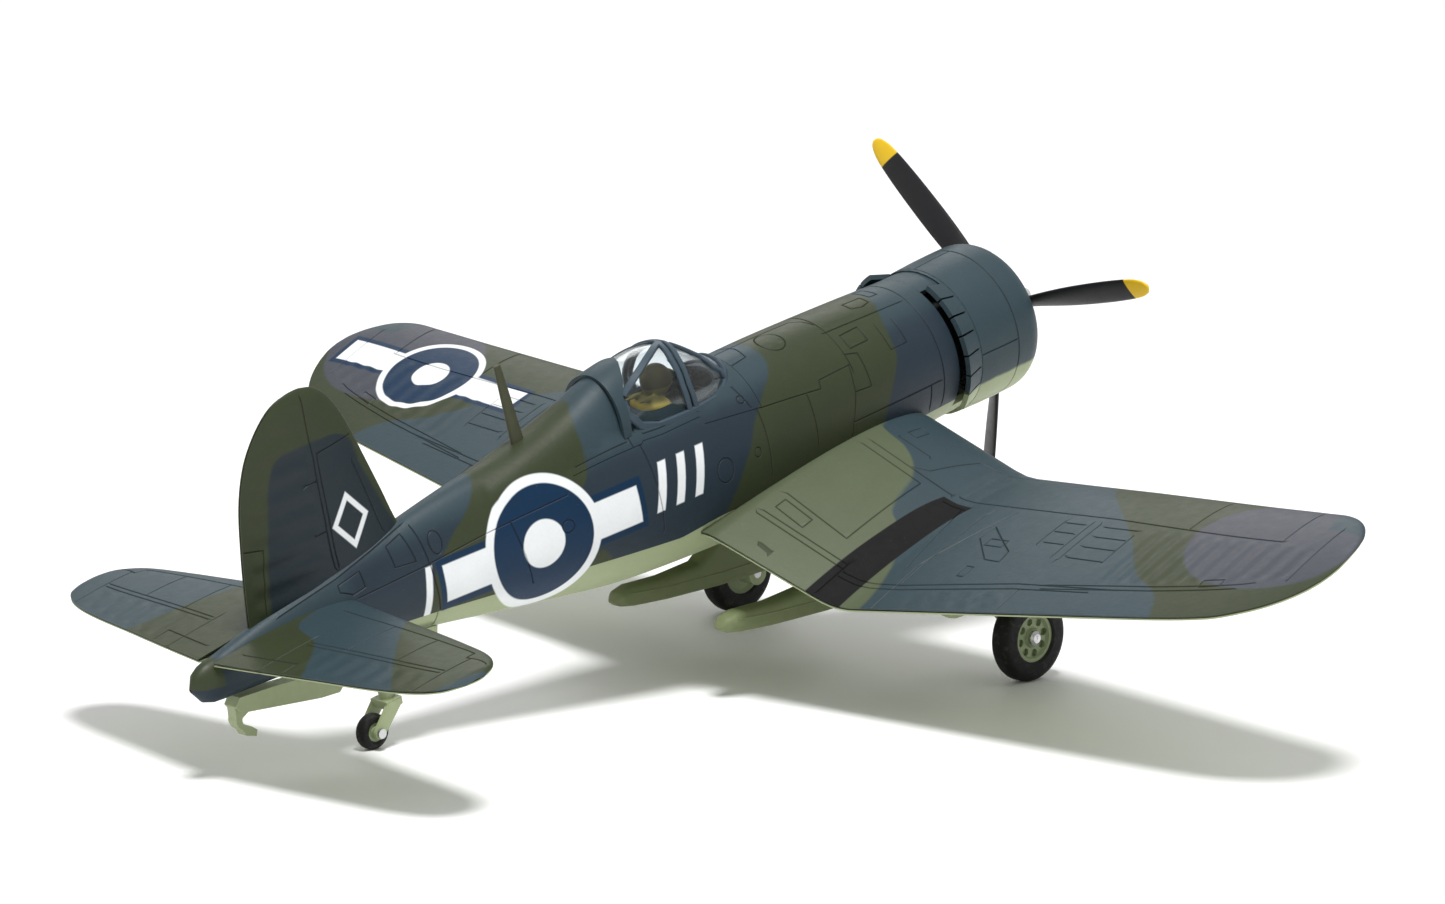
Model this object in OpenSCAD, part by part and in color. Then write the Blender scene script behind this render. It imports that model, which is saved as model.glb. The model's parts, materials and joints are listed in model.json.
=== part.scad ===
// Die-cast display model of a gull-winged, single-seat piston fighter, standing on its wheels.
// Every sub-part is drawn in the aircraft's own axes: X to port, Y aft from the propeller hub's
// nose, Z up from the thrust line. stand() then tilts it to the tail-down attitude on Z = 0.

/* [Wing] */
// Half of the wing span, to the blunt tip
half_span = 90.8; // [90.6:0.1:93]
// Lateral distance from the centre to the gull bend
bend_x = 25.4; // [24:0.2:27]
// Thickness of the blunt trailing edges
edge_t = 0.4; // [0.3:0.05:0.6]

/* [Propeller] */
// Radius of the propeller disc
prop_r = 27.7; // [24:0.1:29]
// Turn of the first blade away from straight up, toward starboard
prop_phase = -43.3; // [-60:0.1:60]
// Radius of the steel propeller pin
prop_pin_r = 0.75; // [0.6:0.05:0.9]

/* [Cowling] */
// Outer radius of the engine cowling
cowl_r = 9.9; // [9.6:0.1:10.2]
// Radius of the cowling's front opening
cowl_mouth_r = 6.7; // [6:0.1:7.2]

/* [Landing gear] */
// Lateral distance from the centre to the middle of a main wheel
wheel_x = 26.4; // [25.6:0.1:27]
// Radius of a main tyre
tyre_r = 5.6; // [5.2:0.1:5.8]
// Width of a main tyre
tyre_w = 2.8; // [2.4:0.1:3]
// Radius of the tail tyre
tail_tyre_r = 2.2; // [2:0.05:2.4]
// Radius of a main axle pin
axle_r = 0.6; // [0.5:0.05:0.7]

/* [Fits] */
// Radial running clearance between a pin and the part that turns on it
run_gap = 0.06; // [0.03:0.01:0.09]
// Wall of the two body castings
wall = 1.2; // [1:0.1:1.5]

/* [Display stand socket] */
// Radius of the socket's bore
socket_r = 1.6; // [1.2:0.1:1.8]
// Depth of the socket's bore
socket_depth = 5; // [4:0.5:5.5]

/* [Hidden] */

// --- Attitude -------------------------------------------------------------------------------
main_contact = [35.0, -35.6];      // Y, Z where a main tyre meets the ground
tail_contact = [117.65, -16.6];   // Y, Z where the tail tyre meets the ground
pitch = atan((tail_contact[1] - main_contact[1]) / (tail_contact[0] - main_contact[0]));
ground_drop = main_contact[0]*sin(pitch) - main_contact[1]*cos(pitch);
mid_y = -68.8;                     // brings the middle of the whole model's length to Y = 0
main_axle = main_contact + tyre_r*[-sin(pitch), cos(pitch)];
tail_axle = tail_contact + tail_tyre_r*[-sin(pitch), cos(pitch)];

// --- Fuselage: Y, half width, top, bottom, height of the widest point ---------------------------
body_rows = [
    [23.0, 9.3, 9.6, -9.4, 0], [30.5, 9.4, 10.0, -10.0, 0], [38.9, 9.3, 10.4, -10.8, 0],
    [47.2, 9.1, 10.7, -11.7, 0], [55.5, 8.9, 10.8, -12.0, 0], [63.9, 8.5, 11.1, -11.7, 0],
    [72.2, 7.9, 11.4, -11.1, 0], [79.2, 7.2, 11.6, -10.3, 0], [86.7, 6.4, 11.4, -8.9, 0.3],
    [97.2, 5.0, 10.7, -6.9, 0.6], [107.6, 3.8, 9.3, -4.9, 0.8], [119.4, 2.8, 7.2, -3.4, 1.2],
    [130.6, 2.1, 5.1, -2.4, 1.2], [138.2, 1.8, 3.5, -1.9, 0.8]];
seam_rows = [[23.0, -5.4], [64.0, -5.6], [70.0, -6.3], [106.3, -2.5], [138.2, 0.2]];
// Raised fairing behind the pilot's head: Y, half width, top
headrest_rows = [[71.6, 4.8, 15.6], [75.0, 4.9, 15.0], [79.2, 5.0, 13.9], [84.0, 5.0, 12.6],
    [89.0, 4.8, 11.2]];
body_front = 23.0;
body_back = 138.2;
tail_tip = 142.2;

// --- Wing: |X|, leading edge Y, trailing edge Y, leading edge Z, trailing edge Z, thickness ratio --
wing_rows = [
    [0, 28.0, 67.2, -5.6, -6.4, 0.15], [8.6, 28.0, 66.9, -6.2, -7.0, 0.16],
    [bend_x, 28.0, 63.9, -12.1, -14.9, 0.165], [50, 29.9, 60.2, -9.0, -12.6, 0.14],
    [70, 31.6, 57.2, -6.6, -10.7, 0.12], [80, 32.4, 55.2, -5.4, -9.6, 0.115],
    [84, 32.9, 53.2, -4.9, -8.9, 0.11], [87, 34.4, 50.8, -4.7, -8.2, 0.105],
    [89.2, 36.8, 48.0, -4.8, -7.4, 0.1], [90.4, 39.4, 45.4, -5.0, -6.6, 0.095],
    [half_span, 41.2, 43.6, -5.3, -6.0, 0.09]];
bend_round = 2.2;                  // half length over which the gull bend is rounded

// --- Fin: Z, leading edge Y, trailing edge Y; tailplane: |X|, leading edge Y, trailing edge Y ------
fin_rows = [[2.4, 104.6, 132.4], [5.0, 105.6, 132.2], [9.2, 107.8, 131.8], [13.9, 109.3, 131.2],
    [19.4, 111.1, 130.2], [23.6, 112.5, 128.6], [26.4, 113.8, 126.6], [28.5, 115.3, 124.3], [29.6, 116.8, 122.3],
    [30.0, 118.4, 120.4]];
stab_rows = [[0.5, 117.7, 139.3], [8.3, 118.8, 138.2], [16.7, 119.9, 136.9], [26.4, 121.3, 135.4],
    [31.3, 122.4, 134.0], [34.0, 124.3, 132.2], [35.4, 127.0, 129.8]];
stab_z = 3.1;

// --- Canopy: Y, half width, top; it stands on the sill ----------------------------------------
canopy_rows = [[54.6, 1.6, 10.9], [56.2, 3.7, 12.2], [58.6, 4.9, 14.0], [61.0, 5.4, 15.3],
    [63.0, 5.6, 15.9], [66.5, 5.6, 16.2], [69.5, 5.3, 15.9], [71.5, 5.0, 15.4]];
sill_z = 9.2;
glass_t = 0.5;
cockpit = [57.5, 71.3, 4.3];       // Y of the front and back of the opening, and its half width

// --- Propeller and engine ------------------------------------------------------------------------
prop_y = 4.9;                      // Y of the propeller disc
hub_r = 1.9;
cowl_front = 7.0;
cowl_back = 18.6;
flap_back = 21.3;
flap_count = 7;
flap_sweep = [28, 130];            // the cowl flaps' first and last angle from the top, each side
flap_gap = 1.2;                    // angle left open between neighbouring flaps
front_row_y = 12.6;
rear_row_y = 16.4;
crank_r = 3.1;
cylinder_count = 9;
blade_rows = [[2.6, 1.5, 52, 1.3], [5.0, 2.0, 48, 1.1], [8.5, 3.0, 41, 0.9], [13.0, 3.5, 33, 0.75],
    [18.0, 3.5, 27, 0.65], [22.5, 3.2, 23, 0.55], [25.6, 2.6, 20, 0.5], [27.0, 1.8, 19, 0.45],
    [prop_r, 0.7, 18, 0.4]];       // radius, chord, twist, thickness

// --- Landing gear -----------------------------------------------------------------------------
hub_disc_r = 3.1;
leg_x = wheel_x - tyre_w/2 - 1.5;
leg_top = [31.4, -12.2];           // Y, Z of the leg's head inside the wing
well = [31, 57, 21.6, 29.4, 3];    // front Y, back Y, inner X, outer X and depth of a wheel well
socket_y = 46;
socket_outer_r = 2.9;
socket_bottom = -12.2;

// ===== Table reading ============================================================================
function row_index(rows, s, i = 0) =
    i >= len(rows) - 2 || s < rows[i + 1][0] ? i : row_index(rows, s, i + 1);
function linear_row(rows, s) =
    let (i = row_index(rows, s), a = rows[i], b = rows[i + 1], t = (s - a[0])/(b[0] - a[0]))
    a + (b - a)*t;
// Smooth cubic through the rows
function smooth_row(rows, s) =
    let (i = row_index(rows, s), a = rows[i], b = rows[i + 1], h = b[0] - a[0],
         before = rows[max(i - 1, 0)], after = rows[min(i + 2, len(rows) - 1)],
         slope_a = (b - before)*h/(b[0] - before[0]), slope_b = (after - a)*h/(after[0] - a[0]),
         t = (s - a[0])/h, t2 = t*t, t3 = t2*t)
    a*(2*t3 - 3*t2 + 1) + slope_a*(t3 - 2*t2 + t) + b*(3*t2 - 2*t3) + slope_b*(t3 - t2);

// ===== Shared shapes ============================================================================
// Tilts the aircraft to its tail-down attitude and stands it on Z = 0
module stand() {
    translate([0, mid_y, ground_drop]) rotate([-pitch, 0, 0]) children();
}
// Stands a shape upright at a point of the centre line, whatever the model's attitude
module upright(y, z) {
    translate([0, y, z]) rotate([pitch, 0, 0]) children();
}
// Turns a shape drawn round Z so that it runs aft along the thrust line
module along_thrust() {
    rotate([-90, 0, 0]) children();
}
module along_x() {
    rotate([0, 90, 0]) children();
}
// Closed solid through rings of equal length, each counter-clockwise seen from the last ring's side
module loft(rings) {
    n = len(rings[0]);
    m = len(rings);
    sides = [for (i = [0:m - 2]) for (j = [0:n - 1])
        let (a = i*n + j, b = i*n + (j + 1)%n) each [[b, a, a + n], [b, a + n, b + n]]];
    polyhedron(
        points = [for (r = rings) each r],
        faces = concat([[for (j = [0:n - 1]) j]], sides, [[for (j = [n - 1:-1:0]) (m - 1)*n + j]]));
}
// Joins smooth shapes into one mesh before anything round is cut from them
module joined() {
    resize([0, 0, 0]) union() children();
}
// Disc or tube made by turning a [radius, height] outline
module turned(outline, sides = 72) {
    rotate_extrude($fn = sides) polygon(outline);
}
function arc(cx, cy, r, a0, a1, steps) =
    [for (i = [0:steps]) [cx + r*cos(a0 + (a1 - a0)*i/steps), cy + r*sin(a0 + (a1 - a0)*i/steps)]];
// Half thickness of a streamlined section of unit chord and thickness, u from nose to tail
function section_half(u) =
    5*(0.2969*sqrt(u) - 0.126*u - 0.3516*u*u + 0.2843*u*u*u - 0.1015*u*u*u*u);
chord_steps = 9;
function chord_u(i) = (1 - cos(180*i/chord_steps))/2;

// ===== Fuselage sections ========================================================================
function body_point(row, angle, inset) =
    let (w = row[1] - inset, up = row[2] - inset - row[4], down = row[4] - row[3] - inset,
         x = w*sin(angle), c = cos(angle))
    [x, row[0], row[4] + (c > 0 ? up : down)*c];
function seam_angle(row) =
    acos(max(-0.99, min(0.99, (linear_row(seam_rows, row[0])[1] - row[4])/(row[4] - row[3]))));
arc_steps = 18;
// Ring of the band between the two seams: over the top for the upper casting, under for the lower
function band_ring(y, upper) =
    let (row = smooth_row(body_rows, y), s = seam_angle(row),
         a0 = upper ? -s : s, a1 = upper ? s : 360 - s,
         angles = [for (i = [0:arc_steps]) a0 + (a1 - a0)*i/arc_steps],
         inner = min(wall, row[1]*0.45))
    concat([for (a = angles) body_point(row, a, 0)],
           [for (i = [arc_steps:-1:0]) body_point(row, angles[i], inner)]);
function body_ring(y, inset) =
    let (row = smooth_row(body_rows, y)) [for (i = [0:39]) body_point(row, i*9, inset)];
body_stations = concat([for (i = [0:27]) body_front + (body_back - body_front)*i/28], [body_back]);
module body_band(upper) {
    loft([for (y = body_stations) band_ring(y, upper)]);
}
// Fixed panel that closes the gap behind the cowling between two angles from the top
module gap_panel(a0, a1) {
    steps = 8;
    angles = [for (i = [0:steps]) a0 + (a1 - a0)*i/steps];
    loft([for (y = [cowl_back + 0.6, body_front + 0.4])
        concat([for (a = angles) [9.55*sin(a), y, 9.6*cos(a)]],
               [for (i = [steps:-1:0]) [8.75*sin(angles[i]), y, 8.75*cos(angles[i])]])]);
}
module body_solid(inset = 0) {
    loft([for (y = body_stations) body_ring(y, inset)]);
}
module headrest_fairing() {
    loft([for (i = [0:8]) let (y = 71.6 + 17.4*i/8, row = smooth_row(headrest_rows, y))
        concat([for (a = [-90:15:90]) [row[1]*sin(a), y, 6 + (row[2] - 6)*pow(cos(a), 0.8)]],
               [[row[1]*0.9, y, 5], [-row[1]*0.9, y, 5]])]);
}
// Side outline of the separate cockpit deck, extruded through the fuselage
module deck_region(gap = 0) {
    rotate([90, 0, 90]) linear_extrude(height = 30, center = true)
        polygon([[53.6 + gap, 30], [53.6 + gap, 5.6 + gap], [64.4, 7.3 + gap], [64.4, 7.9 + gap],
            [84.8 - gap, 7.2 + gap], [83.9 - gap, 30]]);
}
module cockpit_opening() {
    translate([0, 0, sill_z - 6]) linear_extrude(height = 20)
        hull() for (y = [cockpit[0] + 1.6, cockpit[1] - 1.6]) for (s = [-1, 1])
            translate([s*(cockpit[2] - 1.6), y]) circle(r = 1.6, $fn = 24);
}

// ===== Castings =================================================================================
module upper_fuselage() {
    color([0.30, 0.35, 0.36]) stand() joined() {
        difference() {
            body_band(true);
            deck_region();
            wing_solid();
            fin_slot();
        }
        tail_cone_cap();
        gap_panel(-26, 26);
    }
}
module tail_cone_cap() {
    row = smooth_row(body_rows, body_back);
    length = tail_tip - body_back;
    loft([for (i = [0:6]) let (k = cos(82*i/6)) [for (a = [0:15:345])
        [row[1]*k*sin(a), body_back - 0.6 + (length + 0.6)*sin(82*i/6)/sin(82),
            row[4] + k*(cos(a) > 0 ? row[2] - row[4] : row[4] - row[3])*cos(a)]]]);
}
// Slot in the spine that takes the fin's root
module fin_slot() {
    translate([0, 0, 1.7]) linear_extrude(height = 12)
        polygon([[0, 104.7], [0.9, 107], [1.25, 111], [1.25, 117], [0.35, 132.5], [-0.35, 132.5],
            [-1.25, 117], [-1.25, 111], [-0.9, 107]]);
}
function wing_row(x) =
    let (a = abs(x), f = linear_row(wing_rows, a), lo = linear_row(wing_rows, abs(a - bend_round)),
         hi = linear_row(wing_rows, min(a + bend_round, half_span)),
         near_bend = abs(a - bend_x) < 2*bend_round || a < 2*bend_round)
    near_bend ? (lo + 2*f + hi)/4 : f;
function wing_ring(x) =
    let (row = wing_row(x), chord = row[2] - row[1], t = row[5]*chord,
         mid = function (u) [x, row[1] + chord*u, row[3] + (row[4] - row[3])*u])
    concat(
        [for (i = [chord_steps:-1:0]) let (u = chord_u(i))
            mid(u) + [0, 0, t*section_half(u)*1.08 + edge_t/2*u]],
        [for (i = [1:chord_steps]) let (u = chord_u(i))
            mid(u) - [0, 0, t*section_half(u)*0.92 + edge_t/2*u]]);
wing_half_stations = [0, 4, 8.6, 14, 18, 20.5, 23, bend_x, 27.8, 30.2, 34, 42, 50, 58, 65, 72, 77, 80,
    82.4, 84, 85.6, 87, 88.2, 89.2, 89.9, 90.4, half_span];
module wing_solid() {
    stations = concat([for (i = [len(wing_half_stations) - 1:-1:1]) -wing_half_stations[i]],
        wing_half_stations);
    loft([for (x = stations) wing_ring(x)]);
}
module wheel_well(side) {
    r = (well[3] - well[2])/2;
    translate([side*(well[2] + r), 0, -24]) linear_extrude(height = 24 - 17.2 + well[4])
        hull() {
            translate([-r, well[0]]) square([2*r, 1]);
            translate([0, well[1] - r]) circle(r = r, $fn = 32);
        }
}
module wing_and_belly() {
    color([0.36, 0.40, 0.30]) stand() joined() difference() {
        union() {
            body_band(false);
            wing_solid();
            gap_panel(133, 227);
        }
        for (side = [-1, 1]) wheel_well(side);
        upright(socket_y, socket_bottom) translate([0, 0, -6])
            cylinder(r = socket_outer_r + 0.1, h = 14.2, $fn = 32);
        for (y = screw_y) translate([0, y, -20]) cylinder(r = 1.4, h = 16, $fn = 24);
    }
}
function fin_ring(z) =
    let (row = smooth_row(fin_rows, z), chord = row[2] - row[1],
         t = 2.3 - 1.1*(z - 5)/25)
    concat(
        [for (i = [chord_steps:-1:0]) let (u = chord_u(i))
            [t*section_half(u) + edge_t/2*u, row[1] + chord*u, z]],
        [for (i = [1:chord_steps]) let (u = chord_u(i))
            [-(t*section_half(u) + edge_t/2*u), row[1] + chord*u, z]]);
fin_heights = [2.4, 5, 7, 9.2, 12, 15, 18, 21, 23.6, 25.4, 26.8, 28, 28.9, 29.5, 30];
module fin_solid() {
    loft([for (z = fin_heights) fin_ring(z)]);
}
module fin_and_rudder() {
    color([0.26, 0.31, 0.34]) stand() fin_solid();
}
function stab_ring(x) =
    let (row = smooth_row(stab_rows, abs(x)), chord = row[2] - row[1],
         t = 2.0 - 0.9*(abs(x) - 0.5)/35)
    concat(
        [for (i = [chord_steps:-1:0]) let (u = chord_u(i))
            [x, row[1] + chord*u, stab_z + t*section_half(u) + edge_t/2*u]],
        [for (i = [1:chord_steps]) let (u = chord_u(i))
            [x, row[1] + chord*u, stab_z - t*section_half(u) - edge_t/2*u]]);
module tailplane(side) {
    spans = [0.5, 3, 5, 8.3, 12, 16.7, 21, 26.4, 29, 31.3, 33, 34.2, 35, 35.4];
    order = side < 0 ? [len(spans) - 1:-1:0] : [0:len(spans) - 1];
    color([0.34, 0.39, 0.36]) stand() joined() difference() {
        loft([for (i = order) stab_ring(side*spans[i])]);
        body_solid(-0.02);
        tail_cone_cap();
    }
}
module tailplane_starboard() {
    tailplane(-1);
}
module tailplane_port() {
    tailplane(1);
}

// ===== Cockpit ==================================================================================
module cockpit_deck() {
    color([0.29, 0.36, 0.40]) stand() joined() difference() {
        intersection() {
            union() {
                body_band(true);
                headrest_fairing();
            }
            deck_region(0.04);
        }
        cockpit_opening();
        canopy_solid(0.02);
        translate([-3.4, 72.8, 5]) cube([6.8, 9.5, 5.5]);
    }
}
function canopy_ring(y, grow) =
    let (row = smooth_row(canopy_rows, y))
    concat(
        [for (a = [-90:10:90]) [(row[1] + grow)*sign(sin(a))*pow(abs(sin(a)), 0.95), y,
            sill_z + (row[2] + grow - sill_z)*pow(cos(a), 0.9)]],
        [[row[1] + grow, y, sill_z - 1.2], [-row[1] - grow, y, sill_z - 1.2]]);
canopy_stations = [54.6, 55.2, 56.2, 57.4, 58.6, 59.8, 61, 62, 63, 64.5, 66.5, 68, 69.5, 70.6, 71.5];
module canopy_solid(grow) {
    loft([for (y = canopy_stations) canopy_ring(y, grow)]);
}
module canopy_shell(inner, outer) {
    difference() {
        canopy_solid(outer);
        translate([0, 0.01, 0]) canopy_inner(inner);
    }
}
// The hollow under the glass, open at the sill and closed at both ends
module canopy_inner(grow) {
    loft([for (y = [for (s = canopy_stations) if (s > 55.4 && s < 71.3) s])
        [for (p = canopy_ring(y, grow)) [p[0], p[1], p[2] < sill_z ? sill_z - 3 : p[2]]]]);
}
module canopy_glass() {
    color([0.8, 0.88, 0.9, 0.35]) stand() joined() canopy_shell(-glass_t, 0);
}
// Arched slab that a frame is cut from, leaning by the given angle
module frame_slab(y, lean, width) {
    translate([0, y, sill_z]) rotate([lean, 0, 0]) translate([-10, -width/2, -4]) cube([20, width, 14]);
}
module canopy_frame() {
    color([0.29, 0.36, 0.40]) stand() joined() intersection() {
        canopy_shell(0.02, 0.3);
        union() {
            frame_slab(62.8, 6, 0.9);
            frame_slab(64.6, 8, 0.7);
            frame_slab(69.6, 30, 0.7);
            frame_slab(71.2, 4, 0.9);
            translate([-10, 54, sill_z - 1]) cube([20, 18, 1.7]);
            for (s = [-1, 1]) translate([s*2.6, 54, sill_z]) rotate([0, s*24, s*4])
                translate([-0.3, 0, -2]) cube([0.6, 8.6, 10]);
        }
    }
}
module cockpit_tub() {
    color([0.35, 0.40, 0.28]) stand() difference() {
        translate([-4.2, 57.6, -2]) cube([8.4, 14, 9.2]);
        translate([-3.6, 58.2, -1.2]) cube([7.2, 12.8, 10]);
    }
}
module pilot_seat() {
    color([0.25, 0.28, 0.22]) stand() {
        translate([-2.6, 64.6, -1.15]) cube([5.2, 5.0, 1.6]);
        translate([-2.6, 69.65, -1.15]) cube([5.2, 0.8, 9.6]);
    }
}
// Seated aviator: plain helmeted head, shoulders, arms and thighs
module pilot_figure() {
    color([0.36, 0.36, 0.16]) stand() joined() {
        translate([0, 67.2, 12.3]) scale([0.95, 1.08, 1.12]) sphere(r = 1.55, $fn = 16);
        hull() {
            translate([0, 67.5, 9.3]) scale([2.9, 1.3, 1]) sphere(r = 1, $fn = 16);
            translate([0, 67.6, 2.2]) scale([2.0, 1.4, 1]) sphere(r = 1.2, $fn = 16);
        }
        for (s = [-1, 1]) {
            hull() {
                translate([s*2.5, 67, 8.6]) sphere(r = 0.85, $fn = 12);
                translate([s*2.7, 65, 5.4]) sphere(r = 0.7, $fn = 12);
            }
            hull() {
                translate([s*2.7, 65, 5.4]) sphere(r = 0.7, $fn = 12);
                translate([s*0.9, 62.2, 5.6]) sphere(r = 0.6, $fn = 12);
            }
            hull() {
                translate([s*1.2, 67.4, 1.6]) sphere(r = 1.05, $fn = 12);
                translate([s*1.5, 61.6, 2.2]) sphere(r = 0.8, $fn = 12);
            }
        }
    }
}
module instrument_panel() {
    color([0.08, 0.08, 0.08]) stand() {
        translate([-3.5, 58.4, 4.2]) cube([7, 0.8, 4.4]);
        for (p = [[-2.2, 7.2], [0, 7.2], [2.2, 7.2], [-1.1, 5.4], [1.1, 5.4]])
            translate([p[0], 59.2, p[1]]) along_thrust() cylinder(r = 0.75, h = 0.25, $fn = 24);
    }
}
module control_stick() {
    color([0.1, 0.1, 0.1]) stand() {
        translate([0, 61.2, -1.2]) cylinder(r = 0.35, h = 5.4, $fn = 24);
        translate([0, 61.2, 4.2]) cylinder(r = 0.5, h = 0.8, $fn = 24);
    }
}
module gunsight() {
    color([0.12, 0.12, 0.12]) stand() {
        translate([-0.7, 58.4, 8.6]) cube([1.4, 1.3, 1.5]);
        translate([-0.6, 58.6, 10.1]) cube([1.2, 0.2, 1.2]);
    }
}
module antenna_mast() {
    color([0.27, 0.30, 0.22]) stand() translate([0, 87.4, 10.9]) rotate([-6, 0, 0]) {
        linear_extrude(height = 11.2, scale = [0.6, 0.5]) scale([1, 1.9]) circle(r = 0.55, $fn = 24);
        cylinder(r = 1.2, h = 0.7, $fn = 32);
    }
}

// ===== Engine ===================================================================================
module cowling() {
    lip_r = 1.5;
    color([0.27, 0.34, 0.38]) stand() along_thrust() turned(concat(
        [[cowl_r - 0.9, cowl_back], [cowl_r - 0.9, cowl_front + 4], [cowl_mouth_r + 0.6, cowl_front + 3.6]],
        arc(cowl_mouth_r + lip_r, cowl_front + lip_r, lip_r, 180, 270, 5),
        arc(cowl_r - 2.2, cowl_front + 2.6, 2.2, 300, 360, 4),
        [[cowl_r, cowl_front + 6], [cowl_r - 0.15, cowl_back]]), 96);
}
module cowl_flaps() {
    pitch_angle = (flap_sweep[1] - flap_sweep[0])/flap_count;
    color([0.27, 0.34, 0.38]) stand() along_thrust() {
        turned([[9.05, cowl_back + 0.02], [9.7, cowl_back + 0.02], [9.7, cowl_back + 0.5],
            [9.05, cowl_back + 0.5]], 96);
        for (i = [0:flap_count - 1]) for (start = [flap_sweep[0] + i*pitch_angle,
                -flap_sweep[0] - (i + 1)*pitch_angle])
            rotate([0, 0, start - 90 + flap_gap/2]) rotate_extrude(angle = pitch_angle - flap_gap, $fn = 96)
                polygon([[9.3, cowl_back + 0.45], [9.7, cowl_back + 0.45], [10.4, flap_back],
                    [10.05, flap_back]]);
    }
}
module engine_bulkhead() {
    color([0.1, 0.1, 0.1]) stand() along_thrust() difference() {
        union() {
            translate([0, 0, 21.6]) cylinder(r = 8.08, h = 3.2, $fn = 96);
            translate([0, 0, 18.7]) cylinder(r = 6.8, h = 3, $fn = 96);
        }
        translate([0, 0, 18]) cylinder(r = 2.0, h = 8, $fn = 48);
    }
}
module crankcase() {
    color([0.45, 0.47, 0.48]) stand() along_thrust() difference() {
        union() {
            turned([[0, 8.2], [1.5, 8.2], [2.3, 8.9], [crank_r, 10.4], [crank_r, 18.6], [0, 18.6]]);
            translate([0, 0, 18.5]) cylinder(r = 1.95, h = 5, $fn = 48);
        }
        translate([0, 0, 7]) cylinder(r = prop_pin_r + run_gap, h = 30, $fn = 48);
        translate([0, 0, 20]) cylinder(r = 1.5, h = 5, $fn = 48);
    }
}
// One air-cooled cylinder, drawn up from the crankcase axis
module finned_cylinder() {
    fin_pitch = 0.6;
    fins = [for (k = [0:5]) each [[1.15, 4.4 + k*fin_pitch], [1.42, 4.5 + k*fin_pitch],
        [1.42, 4.7 + k*fin_pitch], [1.15, 4.8 + k*fin_pitch]]];
    turned(concat([[0, crank_r + 0.02], [1.05, crank_r + 0.02], [1.05, 4.4]], fins,
        [[1.3, 8.1], [0.9, 8.6], [0, 8.6]]), 32);
}
module cylinder_row(y, turn) {
    translate([0, y, 0]) for (i = [0:cylinder_count - 1])
        rotate([0, turn + i*360/cylinder_count, 0]) finned_cylinder();
}
module front_cylinders() {
    color([0.35, 0.36, 0.37]) stand() cylinder_row(front_row_y, 0);
}
module rear_cylinders() {
    color([0.30, 0.31, 0.32]) stand() cylinder_row(rear_row_y, 20);
}

// ===== Propeller ================================================================================
function blade_ring(row) =
    let (c = row[1], t = row[3], b = row[2])
    [for (i = [0:11]) let (a = -i*30, px = c/2*cos(a), py = t/2*sin(a)*(1 + 0.25*cos(a)))
        [px*cos(b) - py*sin(b), px*sin(b) + py*cos(b), row[0]]];
module prop_blades() {
    radii = [2.6, 3.6, 5, 6.7, 8.5, 10.7, 13, 15.5, 18, 20.3, 22.5, 24.2, 25.6, 26.4, 27, 27.4, prop_r];
    color([0.08, 0.08, 0.08]) stand() translate([0, prop_y, 0])
        for (i = [0:2]) rotate([0, -prop_phase - i*120, 0])
            loft([for (k = [len(radii) - 1:-1:0]) blade_ring(smooth_row(blade_rows, radii[k]))]);
}
module prop_hub() {
    color([0.75, 0.76, 0.74]) stand() difference() {
        union() {
            along_thrust() turned([[0, 0], [0.7, 0.15], [1.15, 0.8], [1.25, 1.9], [hub_r, 2.9],
                [hub_r, 6.6], [1.3, 7.4], [0, 7.4]]);
            for (i = [0:2]) translate([0, prop_y, 0]) rotate([0, -prop_phase - i*120, 0])
                cylinder(r = 0.9, h = 2.59, $fn = 32);
        }
        translate([0, 3, 0]) along_thrust() cylinder(r = prop_pin_r, h = 10, $fn = 48);
    }
}
module prop_pin() {
    color("silver") stand() along_thrust() {
        translate([0, 0, 3]) cylinder(r = prop_pin_r, h = 17.2, $fn = 48);
        translate([0, 0, 20.1]) cylinder(r = 1.3, h = 0.7, $fn = 48);
    }
}

// ===== Landing gear =============================================================================
// Round bar between two [Y, Z] points at one X
module bar(x, from, to, r) {
    d = to - from;
    translate([x, from[0], from[1]]) rotate([atan2(-d[0], d[1]), 0, 0])
        cylinder(r = r, h = norm(d), $fn = 32);
}
module main_leg(side) {
    x = side*leg_x;
    foot = [main_axle[0], main_axle[1]];
    knee = leg_top + (foot - leg_top)*0.55;
    color([0.62, 0.68, 0.50]) stand() difference() {
        union() {
            bar(x, leg_top, knee, 1.15);
            bar(x, knee, foot, 0.8);
            translate([x - 1.1, foot[0], foot[1]]) along_x() cylinder(r = 1.5, h = 2.2, $fn = 48);
            bar(x, [knee[0] + 1.9, knee[1] + 0.6], [foot[0] + 2.6, (knee[1] + foot[1])/2], 0.35);
            bar(x, [foot[0] + 2.6, (knee[1] + foot[1])/2], [foot[0] + 0.6, foot[1] + 1.2], 0.35);
            translate([x - 0.4, knee[0], knee[1] - 0.2]) cube([0.8, 2.2, 1.2]);
            bar(x, [leg_top[0] + 9.5, leg_top[1] - 1], [knee[0] + 0.5, knee[1] + 1.2], 0.45);
        }
        translate([x - 3, foot[0], foot[1]]) along_x() cylinder(r = axle_r, h = 6, $fn = 48);
    }
}
module main_leg_starboard() {
    main_leg(-1);
}
module main_leg_port() {
    main_leg(1);
}
// Long door with a round tail that hangs beside the well
module well_door(x, top_z, bottom_z) {
    front = 35.5;
    back = 52;
    tail_r = 4.2;
    translate([x, 0, 0]) rotate([90, 0, 90]) linear_extrude(height = 0.5, center = true)
        polygon(concat([[front, top_z], [front, bottom_z + 0.8], [front + 0.8, bottom_z]],
            arc(back - tail_r, bottom_z + tail_r, tail_r, -90, 0, 6), [[back, top_z]]));
}
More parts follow.
